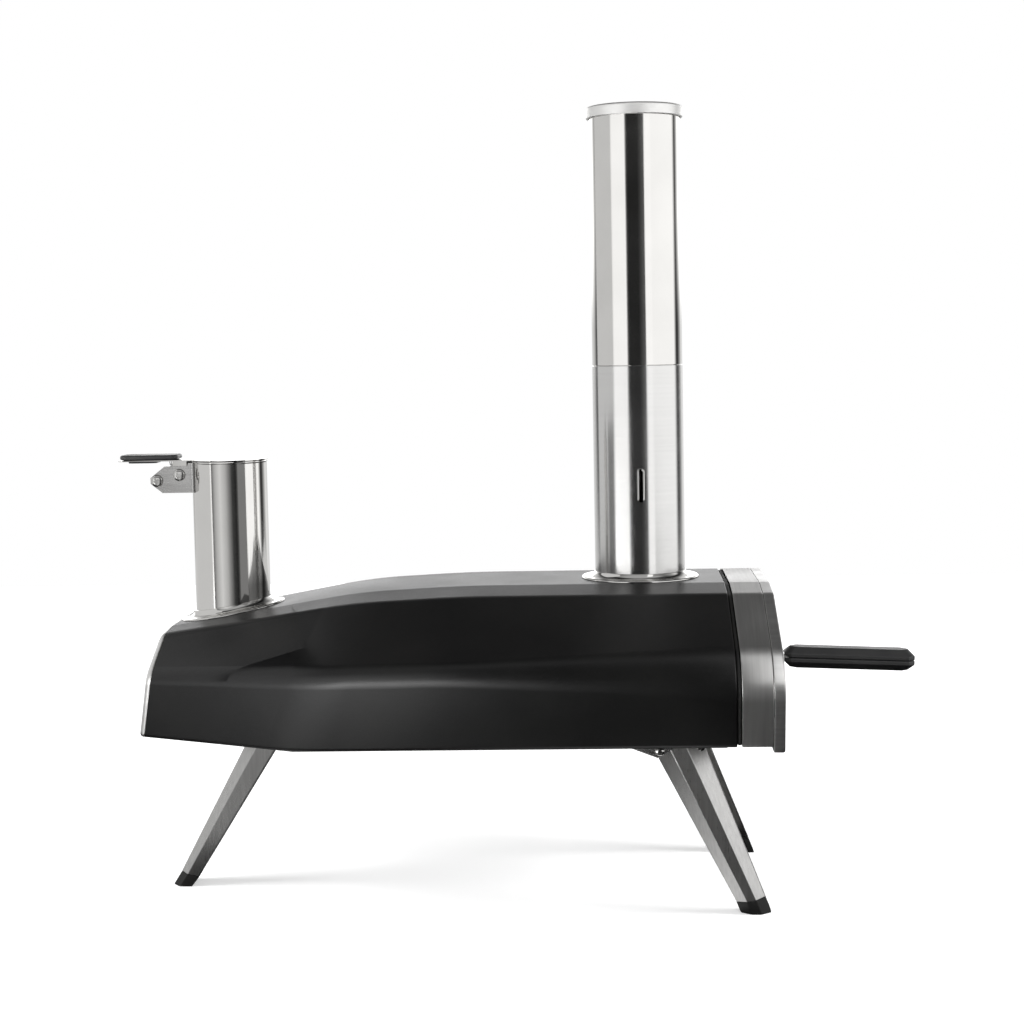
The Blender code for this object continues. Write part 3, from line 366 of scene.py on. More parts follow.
def bend(ahead, corner, behind, reach, steps=14):
    """Stations that round the fold between two stretches of a loft."""
    rows = []
    for step in range(steps + 1):
        t = step / steps
        row = []
        for a, b, c in zip(ahead, corner, behind):
            start = b + (a - b).normalized() * reach
            end = b + (c - b).normalized() * reach
            row.append(start * (1 - t) ** 2 + b * 2 * t * (1 - t) + end * t ** 2)
        rows.append(row)
    return rows


def front_ring(distance, foot_x, drop=0.0):
    """The body's outline at the mouth, where the widest crease is softer."""
    return stand(ring(MAIN_SECTION, distance, drop, FRONT_RADII), foot_x, FRONT_LEAN)


def rear_ring(distance, foot_x):
    return stand(ring(REAR_SECTION, distance), foot_x, REAR_LEAN)


def shell_station(section, foot_x, lean, distance, radii):
    corners = hexagon(section)
    first = corners[0] - Vector((0, SHELL_LIP, 0))
    corners = [first] + corners + [Vector((0, -first.y, first.z))]
    side = [0.0] + [radius - distance for radius in reversed(radii)]
    outline = rounded(inset(corners, distance, closed=False), side + side[::-1], closed=False)
    return stand(outline, foot_x, lean)


def shell_rings(distance, front):
    """Stations of the outer shell's open section, moved inward, from the mouth to the rear."""
    rows = [shell_station(section, foot_x, lean, distance, radii) for section, foot_x, lean, radii in (
        (MAIN_SECTION, SHELL_FRONT_X, FRONT_LEAN, FRONT_RADII), (MAIN_SECTION, RIDGE_X, 0.0, CREASE_RADII),
        (TAPER_SECTION, TAPER_X, TAPER_LEAN, CREASE_RADII), (REAR_SECTION, REAR_X, REAR_LEAN, CREASE_RADII))]
    edge = [shell_station(MAIN_SECTION, SHELL_FRONT_X - back, FRONT_LEAN, distance + extra, FRONT_RADII)
            for back, extra in front]
    return edge + bend(*rows[:3], TAPER_BLEND) + bend(*rows[1:], TAPER_BLEND) + [rows[3]]


# Shader nodes

def feed(tree, node, inputs):
    """Sets or links a node's inputs, by name or index."""
    for key, value in inputs.items():
        if isinstance(value, bpy.types.NodeSocket):
            tree.links.new(value, node.inputs[key])
        else:
            node.inputs[key].default_value = value


def add(tree, kind, inputs=None, **settings):
    """A new shader node with its settings and inputs."""
    node = tree.nodes.new("ShaderNode" + kind)
    for key, value in settings.items():
        setattr(node, key, value)
    feed(tree, node, inputs or {})
    return node


def new_look(name):
    look = bpy.data.materials.new(name)
    look.use_nodes = True
    tree = look.node_tree
    return look, tree, tree.nodes["Principled BSDF"]


def coordinates(tree, scale=(1, 1, 1), turn=(0, 0, 0)):
    place = add(tree, "TexCoord").outputs["Object"]
    return add(tree, "Mapping", {"Vector": place, "Scale": scale, "Rotation": turn}).outputs["Vector"]


def noise(tree, vector, scale, detail, rough=0.5):
    inputs = {"Vector": vector, "Scale": scale, "Detail": detail, "Roughness": rough}
    return add(tree, "TexNoise", inputs).outputs["Fac"]


def spread(tree, value, low=0.0, high=1.0, source=(0.3, 0.7)):
    """A value stretched from one range of numbers to another. The source range suits a noise."""
    inputs = {"Value": value, "From Min": source[0], "From Max": source[1], "To Min": low, "To Max": high}
    return add(tree, "MapRange", inputs).outputs["Result"]


def blend_colour(tree, factor, *colours):
    first, second = (colour if isinstance(colour, bpy.types.NodeSocket) else (*colour, 1.0)
                     for colour in colours)
    return add(tree, "Mix", {"Factor": factor, 6: first, 7: second}, data_type="RGBA").outputs[2]


def maths(tree, operation, first, second):
    return add(tree, "Math", {0: first, 1: second}, operation=operation).outputs[0]


def relief(tree, height, strength, distance, under=None):
    inputs = {"Height": height, "Strength": strength, "Distance": distance}
    if under:
        inputs["Normal"] = under
    return add(tree, "Bump", inputs).outputs["Normal"]


def ramp(tree, value, stops):
    """The brightness at a value, between (position, brightness) stops."""
    node = add(tree, "ValToRGB", {"Fac": value})
    elements = node.color_ramp.elements
    while len(elements) > 1:
        elements.remove(elements[-1])
    for index, (position, level) in enumerate(stops):
        stop = elements.new(position) if index else elements[0]
        stop.position, stop.color = position, (level, level, level, 1.0)
    return node.outputs["Color"]


def connect(tree, shader, **sockets):
    feed(tree, shader, {key.replace("_", " "): value for key, value in sockets.items()})


def powder_coat(name):
    """Matte black powder coat: fine grain over a soft orange peel, with faint dust."""
    look, tree, shader = new_look(name)
    place = coordinates(tree)
    grain, peel, dust = noise(tree, place, 1300, 2), noise(tree, place, 260, 2), noise(tree, place, 11, 5)
    black, dusty, bright = (0.0030, 0.0030, 0.0032), (0.0055, 0.0054, 0.0052), (0.022, 0.022, 0.022)
    colour = blend_colour(tree, spread(tree, dust), black, dusty)
    colour = blend_colour(tree, spread(tree, grain, 0, 0.5, (0.55, 0.8)), colour, bright)
    rough = maths(tree, "ADD", spread(tree, dust, 0.33, 0.40), spread(tree, grain, -0.04, 0.04))
    under = relief(tree, peel, 0.10, 0.0006)
    normal = relief(tree, grain, 0.22, 0.00035, under)
    connect(tree, shader, Base_Color=colour, Roughness=rough, Normal=normal)
    return look


def brushed(name, scale, tone=(0.60, 0.595, 0.585), rough=(0.20, 0.30), along=0.0, turn=(0, 0, 0),
            strength=0.10, dimming=0.86):
    """Steel brushed along one direction: scale is small along the lines and large across them."""
    look, tree, shader = new_look(name)
    place = coordinates(tree, scale, turn)
    lines, streaks = noise(tree, place, 1.0, 6, 0.65), noise(tree, place, 0.22, 3)
    smudge = noise(tree, coordinates(tree), 16, 4)
    dim = tuple(dimming * part for part in tone)
    colour = blend_colour(tree, spread(tree, streaks), dim, tone)
    roughness = maths(tree, "ADD", spread(tree, lines, *rough), spread(tree, smudge, -0.02, 0.05))
    connect(tree, shader, Base_Color=colour, Roughness=roughness, Metallic=1.0,
            Normal=relief(tree, lines, strength, 0.00012))
    if along:
        tangent = add(tree, "Tangent", direction_type="RADIAL", axis="Z").outputs["Tangent"]
        connect(tree, shader, Anisotropic=along, Anisotropic_Rotation=0.25, Tangent=tangent)
    return look


def polished(name, tone=(0.80, 0.79, 0.77), rough=(0.045, 0.10)):
    """Bright polished steel with faint wipe marks and fine scratches."""
    look, tree, shader = new_look(name)
    smudge = noise(tree, coordinates(tree), 22, 5)
    scratch = noise(tree, coordinates(tree, (60, 60, 1900)), 1.0, 5, 0.7)
    wave = noise(tree, coordinates(tree, (14, 14, 5)), 1.0, 1)
    colour = blend_colour(tree, spread(tree, smudge), tuple(0.94 * part for part in tone), tone)
    under = relief(tree, wave, 0.05, 0.004)
    connect(tree, shader, Base_Color=colour, Metallic=1.0, Roughness=spread(tree, smudge, *rough),
            Normal=relief(tree, scratch, 0.03, 0.00008, under))
    return look


def dark_steel(name):
    """Heat-tinted steel of the firebox: brown and blue patches with soot."""
    look, tree, shader = new_look(name)
    place = coordinates(tree)
    patch, soot = noise(tree, place, 14, 4), noise(tree, place, 45, 6, 0.6)
    colour = blend_colour(tree, spread(tree, patch), (0.34, 0.27, 0.19), (0.20, 0.22, 0.28))
    colour = blend_colour(tree, spread(tree, soot, 0, 0.8, (0.45, 0.75)), colour, (0.05, 0.045, 0.04))
    connect(tree, shader, Base_Color=colour, Metallic=0.85, Roughness=spread(tree, soot, 0.34, 0.62),
            Normal=relief(tree, soot, 0.12, 0.0004))
    return look


def plain_grain(name, dark, light, rough, scale, depth):
    """A non-metal with a fine grain, a slow change of tone and a worn sheen."""
    look, tree, shader = new_look(name)
    place = coordinates(tree)
    grain, slow = noise(tree, place, scale, 3), noise(tree, place, 35, 4)
    colour = blend_colour(tree, spread(tree, slow), dark, light)
    roughness = maths(tree, "ADD", spread(tree, slow, *rough), spread(tree, grain, -0.03, 0.03))
    connect(tree, shader, Base_Color=colour, Roughness=roughness, Normal=relief(tree, grain, 0.25, depth))
    return look


def cordierite(name):
    """Pale fired stone with darker specks, small pits and light scorch marks."""
    look, tree, shader = new_look(name)
    place = coordinates(tree)
    speck, pits, scorch = noise(tree, place, 620, 3), noise(tree, place, 210, 4), noise(tree, place, 9, 5)
    colour = blend_colour(tree, spread(tree, pits), (0.62, 0.52, 0.38), (0.74, 0.65, 0.52))
    colour = blend_colour(tree, spread(tree, speck, 0, 0.7, (0.6, 0.75)), colour, (0.30, 0.22, 0.15))
    colour = blend_colour(tree, spread(tree, scorch, 0, 0.6, (0.55, 0.8)), colour, (0.12, 0.08, 0.05))
    connect(tree, shader, Base_Color=colour, Roughness=spread(tree, pits, 0.82, 0.95),
            Normal=relief(tree, pits, 0.3, 0.0004))
    return look


def fibre(name):
    look, tree, shader = new_look(name)
    place = coordinates(tree)
    fluff, strand = noise(tree, place, 240, 6, 0.7), noise(tree, coordinates(tree, (900, 120, 120)), 1.0, 3)
    colour = blend_colour(tree, spread(tree, fluff), (0.70, 0.68, 0.62), (0.88, 0.87, 0.83))
    connect(tree, shader, Base_Color=colour, Roughness=spread(tree, strand, 0.88, 0.98),
            Normal=relief(tree, fluff, 0.6, 0.0008))
    return look


LOOKS = {
    "powder": powder_coat("powder_coat_black"),
    "band": brushed("brushed_band", (1500, 60, 60), (0.68, 0.675, 0.665), (0.35, 0.43), strength=0.06),
    "door": brushed("brushed_door", (60, 60, 1500), (0.80, 0.795, 0.785), (0.32, 0.40), strength=0.06),
    "rim": brushed("brushed_rim", (300, 300, 300), (0.92, 0.915, 0.90), (0.34, 0.42), strength=0.02),
    "plate": brushed("brushed_plate", (60, 60, 2400)),
    "tube": brushed("brushed_tube", (25, 25, 3200), (0.74, 0.735, 0.725), (0.13, 0.19), along=0.6,
                    strength=0.03, dimming=0.97),
    "cap": brushed("satin_cap", (500, 500, 700), (0.95, 0.945, 0.93), (0.40, 0.48), strength=0.04,
                   dimming=0.95),
    "leg": brushed("brushed_leg", (1900, 1900, 30), rough=(0.24, 0.34), turn=(0, 0.43, 0)),
    "rear_leg": brushed("brushed_rear_leg", (1900, 1900, 30), rough=(0.24, 0.34), turn=(0, -0.49, 0)),
    "polished": polished("polished_steel_tube"),
    "hardware": polished("polished_hardware", (0.66, 0.655, 0.64), (0.08, 0.16)),
    "dark": dark_steel("heat_tinted_steel"),
    "plastic": plain_grain("black_nylon", (0.020, 0.020, 0.021), (0.030, 0.030, 0.030), (0.34, 0.46),
                           1500, 0.0003),
    "rubber": plain_grain("black_rubber", (0.008, 0.008, 0.008), (0.018, 0.018, 0.017), (0.55, 0.72),
                          900, 0.0004),
    "fibre": fibre("ceramic_fibre_white"),
    "stone": cordierite("fired_cordierite"),
}


# Pieces

def upright(x, radius, low, high, segments=96):
    return rod(radius, low, high, segments, Matrix.Translation((x, 0, 0)))


def tube_profile(radius, wall, low, high, edge=0.0003):
    """A tube's wall with softened ends."""
    inner = radius - wall
    return [(inner, low + edge), (inner + edge, low), (radius - edge, low), (radius, low + edge),
            (radius, high - edge), (radius - edge, high), (inner + edge, high), (inner, high - edge)]


def make_body():
    front = ((0.0, 0.0007), (0.0003, 0.0002), (0.0012, 0.0))
    shell = sheet(shell_rings(0.0, front), shell_rings(SHELL_THICKNESS, [(b, 0.0) for b, _ in front]), False)
    shell = combine(shell, upright(CHIMNEY_X, OUTLET_RADIUS + GAP, 0.28, 0.30),
                    upright(HOPPER_X, HOPPER_RADIUS + GAP, 0.24, 0.29))
    build("shell", shell, "powder", "outer_shell", crease=50)

    margin, top = 0.008, BASE_Z - GAP
    corners = [(SHELL_FRONT_X - margin, 0.157), (TAPER_X, 0.157), (REAR_X + margin, 0.087)]
    corners += [(x, -y) for x, y in reversed(corners)]
    plate = prism_z(corners, top - PLATE, top)
    beads = [soft_box((-0.16, y - 0.004, top - PLATE - 0.0008), (0.06, y + 0.004, top - 0.0002), 0.0007)
             for y in (-0.05, 0.05)]
    build("bottom_pan", join(plate, *beads), "powder", "bottom_plate", bevel=0.0003)
    for index, (x, y) in enumerate(BOTTOM_SCREWS):
        for side, sign in SIDES:
            head = screw_head(0.0040, 0.0022, posed((x, sign * y, top - PLATE - GAP), pi, "X"))
            build(f"pan_screw_{side}_{index + 1}", head, "hardware", f"bottom_screw_{side}_{index + 1}")


def screw_head(radius, height, place, base=0.0, hexagonal=True):
    """A domed head with a driving recess, its axis along +Z before it is placed."""
    steps = 8
    profile = [(0, base), (radius - 0.0002, base), (radius, base + 0.0003)]
    turns = [pi / 2 * i / steps for i in range(1, steps)]
    profile += [(radius * cos(t), base + 0.0003 + (height - 0.0003) * sin(t)) for t in turns]
    profile += [(0, base + height)]
    head = turned(profile, 32)
    size, floor = radius * 0.50, base + height * 0.35
    if hexagonal:
        recess = [rod(size, floor, 1, 6)]
    else:
        arm = radius * 0.17
        recess = [box((-size, -arm, floor), (size, arm, 1)), box((-arm, -size, floor), (arm, size, 1))]
    return moved(combine(head, *recess), place)


def make_front():
    """The gasket and the brushed band round the mouth, with its front face folded in."""
    bulge = ((0.0, 0.0024), (0.0010, 0.0018), (0.0020, 0.0016), (0.0030, 0.0018), (0.0039, 0.0024))
    outers = [front_ring(deep, SHELL_FRONT_X + GAP + along) for along, deep in bulge]
    inners = [front_ring(0.0080, SHELL_FRONT_X + GAP + along) for along, _ in bulge]
    build("gasket", sheet(outers, inners, True), "rubber", "front_seal", crease=60)
    back, face = BAND_X
    skin = ((0.0004, back), (0.0, back + 0.0005), (0.0, face - 0.0012), (0.0004, face - 0.0003),
            (0.0012, face))
    lip = ((-0.0015, face), (-0.0003, face - 0.0004), (0.0, face - 0.0012), (0.0, face - 0.0045),
           (-0.0012, face - 0.0045), (-0.0012, face - 0.0012))
    inside = ((0.0012, face - 0.0012), (0.0012, back))
    rings = [front_ring(*place) for place in skin]
    rings += [stand(ring(MOUTH_SECTION, deep), x, FRONT_LEAN) for deep, x in lip]
    rings += [front_ring(*place) for place in inside]
    build("mouth_band", loft(rings, around=True), "band", "front_frame", crease=50)


def make_rear():
    """The stainless rear panel with its rolled rim, air holes and hatch opening."""
    start, face = REAR_X - 0.0006, REAR_X - REAR_PANEL_DEPTH
    roll = start - face
    turns = [pi / 2 * i / 8 for i in range(9)]
    rings = [(0.0014, REAR_X + 0.0006), (0.0014, start)]
    rings += [(RIM_INSET + roll * (1 - cos(t)), start - roll * sin(t)) for t in turns]
    rings += [(0.0110, face), (0.0110, face + 0.0010), (0.0060, face + 0.0010), (0.0034, start - 0.0016),
              (0.0024, start + 0.0004), (0.0024, REAR_X + 0.0006)]
    rim = loft([rear_ring(*place) for place in rings], around=True)
    inside = loft([rear_ring(0.0105, x) for x in (face + 0.0003, face + 0.0013)])
    tools = [box((-0.40, -HATCH_OPENING, 0.178), (-0.29, HATCH_OPENING, 0.232))]
    for column in range(AIR_HOLES):
        y = (column - (AIR_HOLES - 1) / 2) * AIR_HOLE_PITCH
        tools.append(rod(AIR_HOLE_RADIUS, 0, 0.08, 24, posed((-0.36, y, AIR_HOLE_Z), pi / 2, "Y")))
    panel = combine(combine(rim, inside, operation="UNION"), *tools)
    build("rear_rim", panel, "rim", "rear_panel", crease=50)
    for side, sign in SIDES:
        for level, z in REAR_SCREW_Z:
            spot = (face + (z - BASE_Z) * REAR_LEAN, sign * REAR_SCREW_Y, z)
            head = screw_head(0.0036, 0.0020, posed(spot, atan(REAR_LEAN) - pi / 2, "Y"))
            build(f"rim_screw_{side}_{level}", head, "hardware", f"rear_screw_{side}_{level}")


def make_hatch():
    """The plate over the fuel tray, with its pull bent out of the face."""
    low, high = HATCH_Z
    back = REAR_X - REAR_PANEL_DEPTH - GAP
    rings = []
    for x, shrink in ((back, 0.0), (back - 0.0009, 0.0), (back - 0.0015, 0.0006)):
        half = HATCH_HALF_WIDTH - shrink
        outline = octagon((-half, low + shrink), (half, high - shrink), HATCH_CORNER)
        rings.append([(x + (z - BASE_Z) * REAR_LEAN, y, z) for y, z in outline])
    face, z = back - 0.0015 + (HATCH_GRIP_Z - BASE_Z) * REAR_LEAN, HATCH_GRIP_Z
    grip = soft_box((face - HATCH_GRIP_LENGTH, -HATCH_GRIP_HALF_WIDTH, z - 0.0010),
                    (face + 0.0010, HATCH_GRIP_HALF_WIDTH, z + 0.0010), 0.0008, 3)
    build("hatch_plate", combine(loft(rings), grip, operation="UNION"), "plate", "fuel_hatch")


def make_chimney():
    centre = Matrix.Translation((CHIMNEY_X, 0, 0))
    inner, outer, low = CHIMNEY_RADIUS + GAP, CHIMNEY_FLANGE_RADIUS, CHIMNEY_FOOT_Z
    top = [(outer, 0.0005), (outer - 0.0004, 0.0011), (outer - 0.0014, 0.0016), (outer - 0.0030, 0.0016),
           (inner + 0.0075, 0.0012), (inner + 0.0055, 0.0013), (inner + 0.0038, 0.0018),
           (inner + 0.0024, 0.0029), (inner + 0.0013, 0.0044), (inner + 0.0007, 0.0058),
           (inner + 0.0003, 0.0062)]
    profile = [(inner, low), (outer, low)] + [(r, low + z) for r, z in top] + [(inner, low + 0.0061)]
    build("flue_flange", turned(profile, 128, centre), "polished", "chimney_flange", crease=40)

    lower = turned(tube_profile(CHIMNEY_RADIUS, TUBE_WALL, CHIMNEY_FOOT_Z, CHIMNEY_SEAM_Z), 160, centre)
    reach = CLIP_HALF_WIDTH + CLIP_WIRE + SLOT_MARGIN
    low, high = CLIP_Z[0] - CLIP_WIRE - SLOT_MARGIN, CLIP_Z[1] + CLIP_WIRE + SLOT_MARGIN
    slot = slot_prism(CLIP_X, low, high, reach)
    build("lower_tube", combine(lower, slot), "tube", "chimney_lower_tube")

    upper = tube_profile(CHIMNEY_RADIUS - 0.0002, TUBE_WALL, CHIMNEY_SEAM_Z + GAP, CHIMNEY_TOP_Z, 0.0004)
    build("upper_tube", turned(upper, 160, centre), "polished", "chimney_upper_tube")

    rim, top = CHIMNEY_RADIUS + GAP, CAP_TOP_Z
    foot, outer = top - CAP_RIM, CAP_RADIUS
    profile = [(0, top - 0.0012), (rim, top - 0.0012), (rim, foot + 0.0004), (rim + 0.0004, foot),
               (outer - 0.0005, foot), (outer, foot + 0.0006), (outer, top - 0.0022),
               (outer - 0.0003, top - 0.0011), (outer - 0.0010, top - 0.0004), (outer - 0.0022, top),
               (outer - 0.0050, top), (outer - 0.0060, top - 0.0005), (0, top - 0.0005)]
    build("flue_cap", turned(profile, 128, centre), "cap", "chimney_cap")
    make_clip()


def slot_prism(x, low, high, reach):
    """An upright slot with round ends, cut into the near side of the chimney."""
    outline = []
    for end, start in ((high - reach, 0.0), (low + reach, pi)):
        turns = [start + pi * i / 10 for i in range(11)]
        outline += [(x + reach * cos(t), end + reach * sin(t)) for t in turns]
    return prism_y(outline, -0.050, -0.030)


def wire_mesh(points, radius, sides):
    """A round wire with closed ends along a path."""
    points = [Vector(p) for p in points]
    rings, across = [], None
    for i, point in enumerate(points):
        ahead, behind = points[min(i + 1, len(points) - 1)], points[max(i - 1, 0)]
        along = (ahead - behind).normalized()
        guess = across if across else Vector((0.3, 0.1, 1)).cross(along)
        across = (guess - along * guess.dot(along)).normalized()
        other = along.cross(across)
        turns = [2 * pi * k / sides for k in range(sides)]
        rings.append([point + radius * (across * cos(t) + other * sin(t)) for t in turns])
    return loft(rings)


def make_clip():
    """The sprung wire bow that fills the slot in the lower tube."""
    y_out, y_in = -CHIMNEY_RADIUS + 0.0002, -CHIMNEY_RADIUS + 0.0075
    half, low, high = CLIP_HALF_WIDTH, CLIP_Z[0], CLIP_Z[1] - CLIP_HALF_WIDTH
    side = [(y_in, low), (y_out + 0.0015, low), (y_out + 0.0004, low + 0.0003), (y_out, low + 0.0012),
            (y_out, 0.5 * (low + high))]
    turns = [pi - pi * i / 16 for i in range(17)]
    path = [(-half, y, z) for y, z in side]
    path += [(half * cos(t), y_out, high + half * sin(t)) for t in turns]
    path += [(half, y, z) for y, z in reversed(side)]
    bow = wire_mesh([(CLIP_X + x, y, z) for x, y, z in path], CLIP_WIRE, 12)
    build("latch_wire", bow, "hardware", "chimney_clip", crease=60)


def make_hopper():
    """The pellet tube with its rolled rim, and the dished flange on the sloping roof."""
    radius, top = HOPPER_RADIUS, HOPPER_TOP_Z
    profile = [(radius - TUBE_WALL, HOPPER_FOOT_Z), (radius, HOPPER_FOOT_Z), (radius, top - 0.0022),
               (radius + 0.0004, top - 0.0017), (radius + 0.0006, top - 0.0010),
               (radius + 0.0004, top - 0.0003), (radius - 0.0001, top), (radius - TUBE_WALL, top - 0.0003)]
    tube = turned(profile, 144, Matrix.Translation((HOPPER_X, 0, 0)))
    build("pellet_tube", tube, "polished", "hopper_tube")
    taper_x = TAPER_X + (TAPER_SECTION[0][1] - BASE_Z) * TAPER_LEAN
    rear_x = REAR_X + (REAR_SECTION[0][1] - BASE_Z) * REAR_LEAN
    slope = (TAPER_SECTION[0][1] - REAR_SECTION[0][1]) / (taper_x - rear_x)
    roof_z = REAR_SECTION[0][1] + (HOPPER_X - rear_x) * slope
    outer = HOPPER_FLANGE_RADIUS
    profile = [(0.030, GAP), (outer, GAP), (outer, 0.0006), (outer - 0.0004, 0.0013),
               (outer - 0.0016, 0.0018), (0.0440, 0.0017), (0.0420, 0.0020), (0.0400, 0.0029),
               (0.0385, 0.0042), (0.0374, 0.0058), (0.0368, 0.0073), (0.0362, 0.0075), (0.030, 0.0075)]
    flange = turned(profile, 128, posed((HOPPER_X, 0, roof_z), -slope, "Y"))
    flange = combine(flange, upright(HOPPER_X, HOPPER_RADIUS + GAP, 0.24, 0.30, 128))
    build("pellet_flange", flange, "polished", "hopper_flange", crease=40)


def bolt_bore(x, z):
    return rod(BOLT_RADIUS + GAP, -0.03, 0.03, 24, facing_y(x, z))


def make_lid_bracket():
    low_y, high_y = BRACKET_CHEEK_Y
    inner, outer = HOPPER_RADIUS + GAP, HOPPER_RADIUS + GAP + PLATE

    def arc(radius, start, end):
        angles = [pi + start + (end - start) * step / 16 for step in range(17)]
        return [(HOPPER_X + radius * cos(angle), radius * sin(angle)) for angle in angles]

    cheek = [(BRACKET_ROOT_X, -high_y), (BRACKET_END_X, -high_y),
             (BRACKET_END_X, -low_y), (BRACKET_ROOT_X, -low_y)]
    between = 0.80 * SADDLE_ANGLE
    outline = arc(inner, -SADDLE_ANGLE, SADDLE_ANGLE) + arc(outer, SADDLE_ANGLE, SADDLE_ANGLE)[:1] + cheek
    outline += arc(outer, between, -between)
    outline += [(x, -y) for x, y in reversed(cheek)] + arc(outer, -SADDLE_ANGLE, -SADDLE_ANGLE)[:1]
    bracket = combine(prism_z(outline, *BRACKET_Z), prism_y(BRACKET_OUTLINE, -0.030, 0.030),
                      operation="INTERSECT")
    bracket = combine(bracket, bolt_bore(PIVOT_X, PIVOT_Z), bolt_bore(STOP_X, STOP_Z))
    build("lid_cheeks", bracket, "plate", "lid_bracket", bevel=0.00025)
    near = high_y + GAP
    for name, node, x, z in (("hinge_bolt", "lid_pivot_bolt", PIVOT_X, PIVOT_Z),
                             ("stop_bolt", "lid_stop_bolt", STOP_X, STOP_Z)):
        place = posed((x, -near, z), pi / 2, "X") @ Matrix.Rotation(0.5, 4, "Z")
        head = screw_head(BOLT_HEAD_RADIUS, 0.0034, place, hexagonal=False)
        shank = rod(BOLT_RADIUS, -near - 0.0002, near, 24, facing_y(x, z))
        nut = turned([(0, near), (0.0044, near), (0.0048, near + 0.0004), (0.0048, near + 0.0026),
                      (0.0044, near + 0.0030), (0, near + 0.0030)], 6, facing_y(x, z))
        build(name, join(head, shank, nut), "hardware", node)


def make_lid():
    half, corner, steps = TONGUE_HALF_WIDTH, 0.005, 64
    opening = pi - asin(half / LID_RADIUS)
    angles = [opening * (2 * step / steps - 1) for step in range(steps + 1)]
    outline = [(HOPPER_X + LID_RADIUS * cos(angle), LID_RADIUS * sin(angle)) for angle in angles]
    tip = [(TONGUE_END_X + corner * (1 - sin(pi / 2 * i / 5)), half - corner * (1 - cos(pi / 2 * i / 5)))
           for i in range(6)]
    outline += tip + [(x, -y) for x, y in reversed(tip)]
    disc = prism_z(outline, *LID_Z)
    ears = [prism_y(EAR_OUTLINE, *sorted((sign * EAR_Y[0], sign * EAR_Y[1]))) for sign in (1, -1)]
    lid = combine(disc, *ears, operation="UNION")
    lid = combine(lid, bolt_bore(PIVOT_X, PIVOT_Z))
    build("lid_plate", lid, "polished", "hopper_lid", bevel=0.0002)

    pad = soft_slab(PAD_X, PAD_HALF_WIDTH, PAD_Z, 0.0070, 0.0019)
    build("hand_pad", pad, "plastic", "lid_handle_pad", crease=60)
    clamp = soft_slab(CLAMP_X, 0.012, CLAMP_Z, 0.0050, 0.0005)
    build("hand_pad_base", clamp, "plastic", "lid_handle_clamp", crease=60)
    bumper = soft_box((BUMPER_X[0], -0.006, BUMPER_FOOT_Z), (BUMPER_X[1], 0.006, LID_Z[0] - GAP), 0.0005, 3)
    build("lid_stop_pad", bumper, "rubber", "lid_bumper", crease=60)
    per_turn = 16
    path = []
    for step in range(COIL_TURNS * per_turn + 1):
        angle = 2 * pi * step / per_turn
        x = COIL_X[0] + (COIL_X[1] - COIL_X[0]) * step / (COIL_TURNS * per_turn)
        path.append((x, COIL_RADIUS * cos(angle), COIL_Z + COIL_RADIUS * sin(angle)))
    build("lid_coil", wire_mesh(path, COIL_WIRE, 8), "hardware", "lid_spring", crease=80)


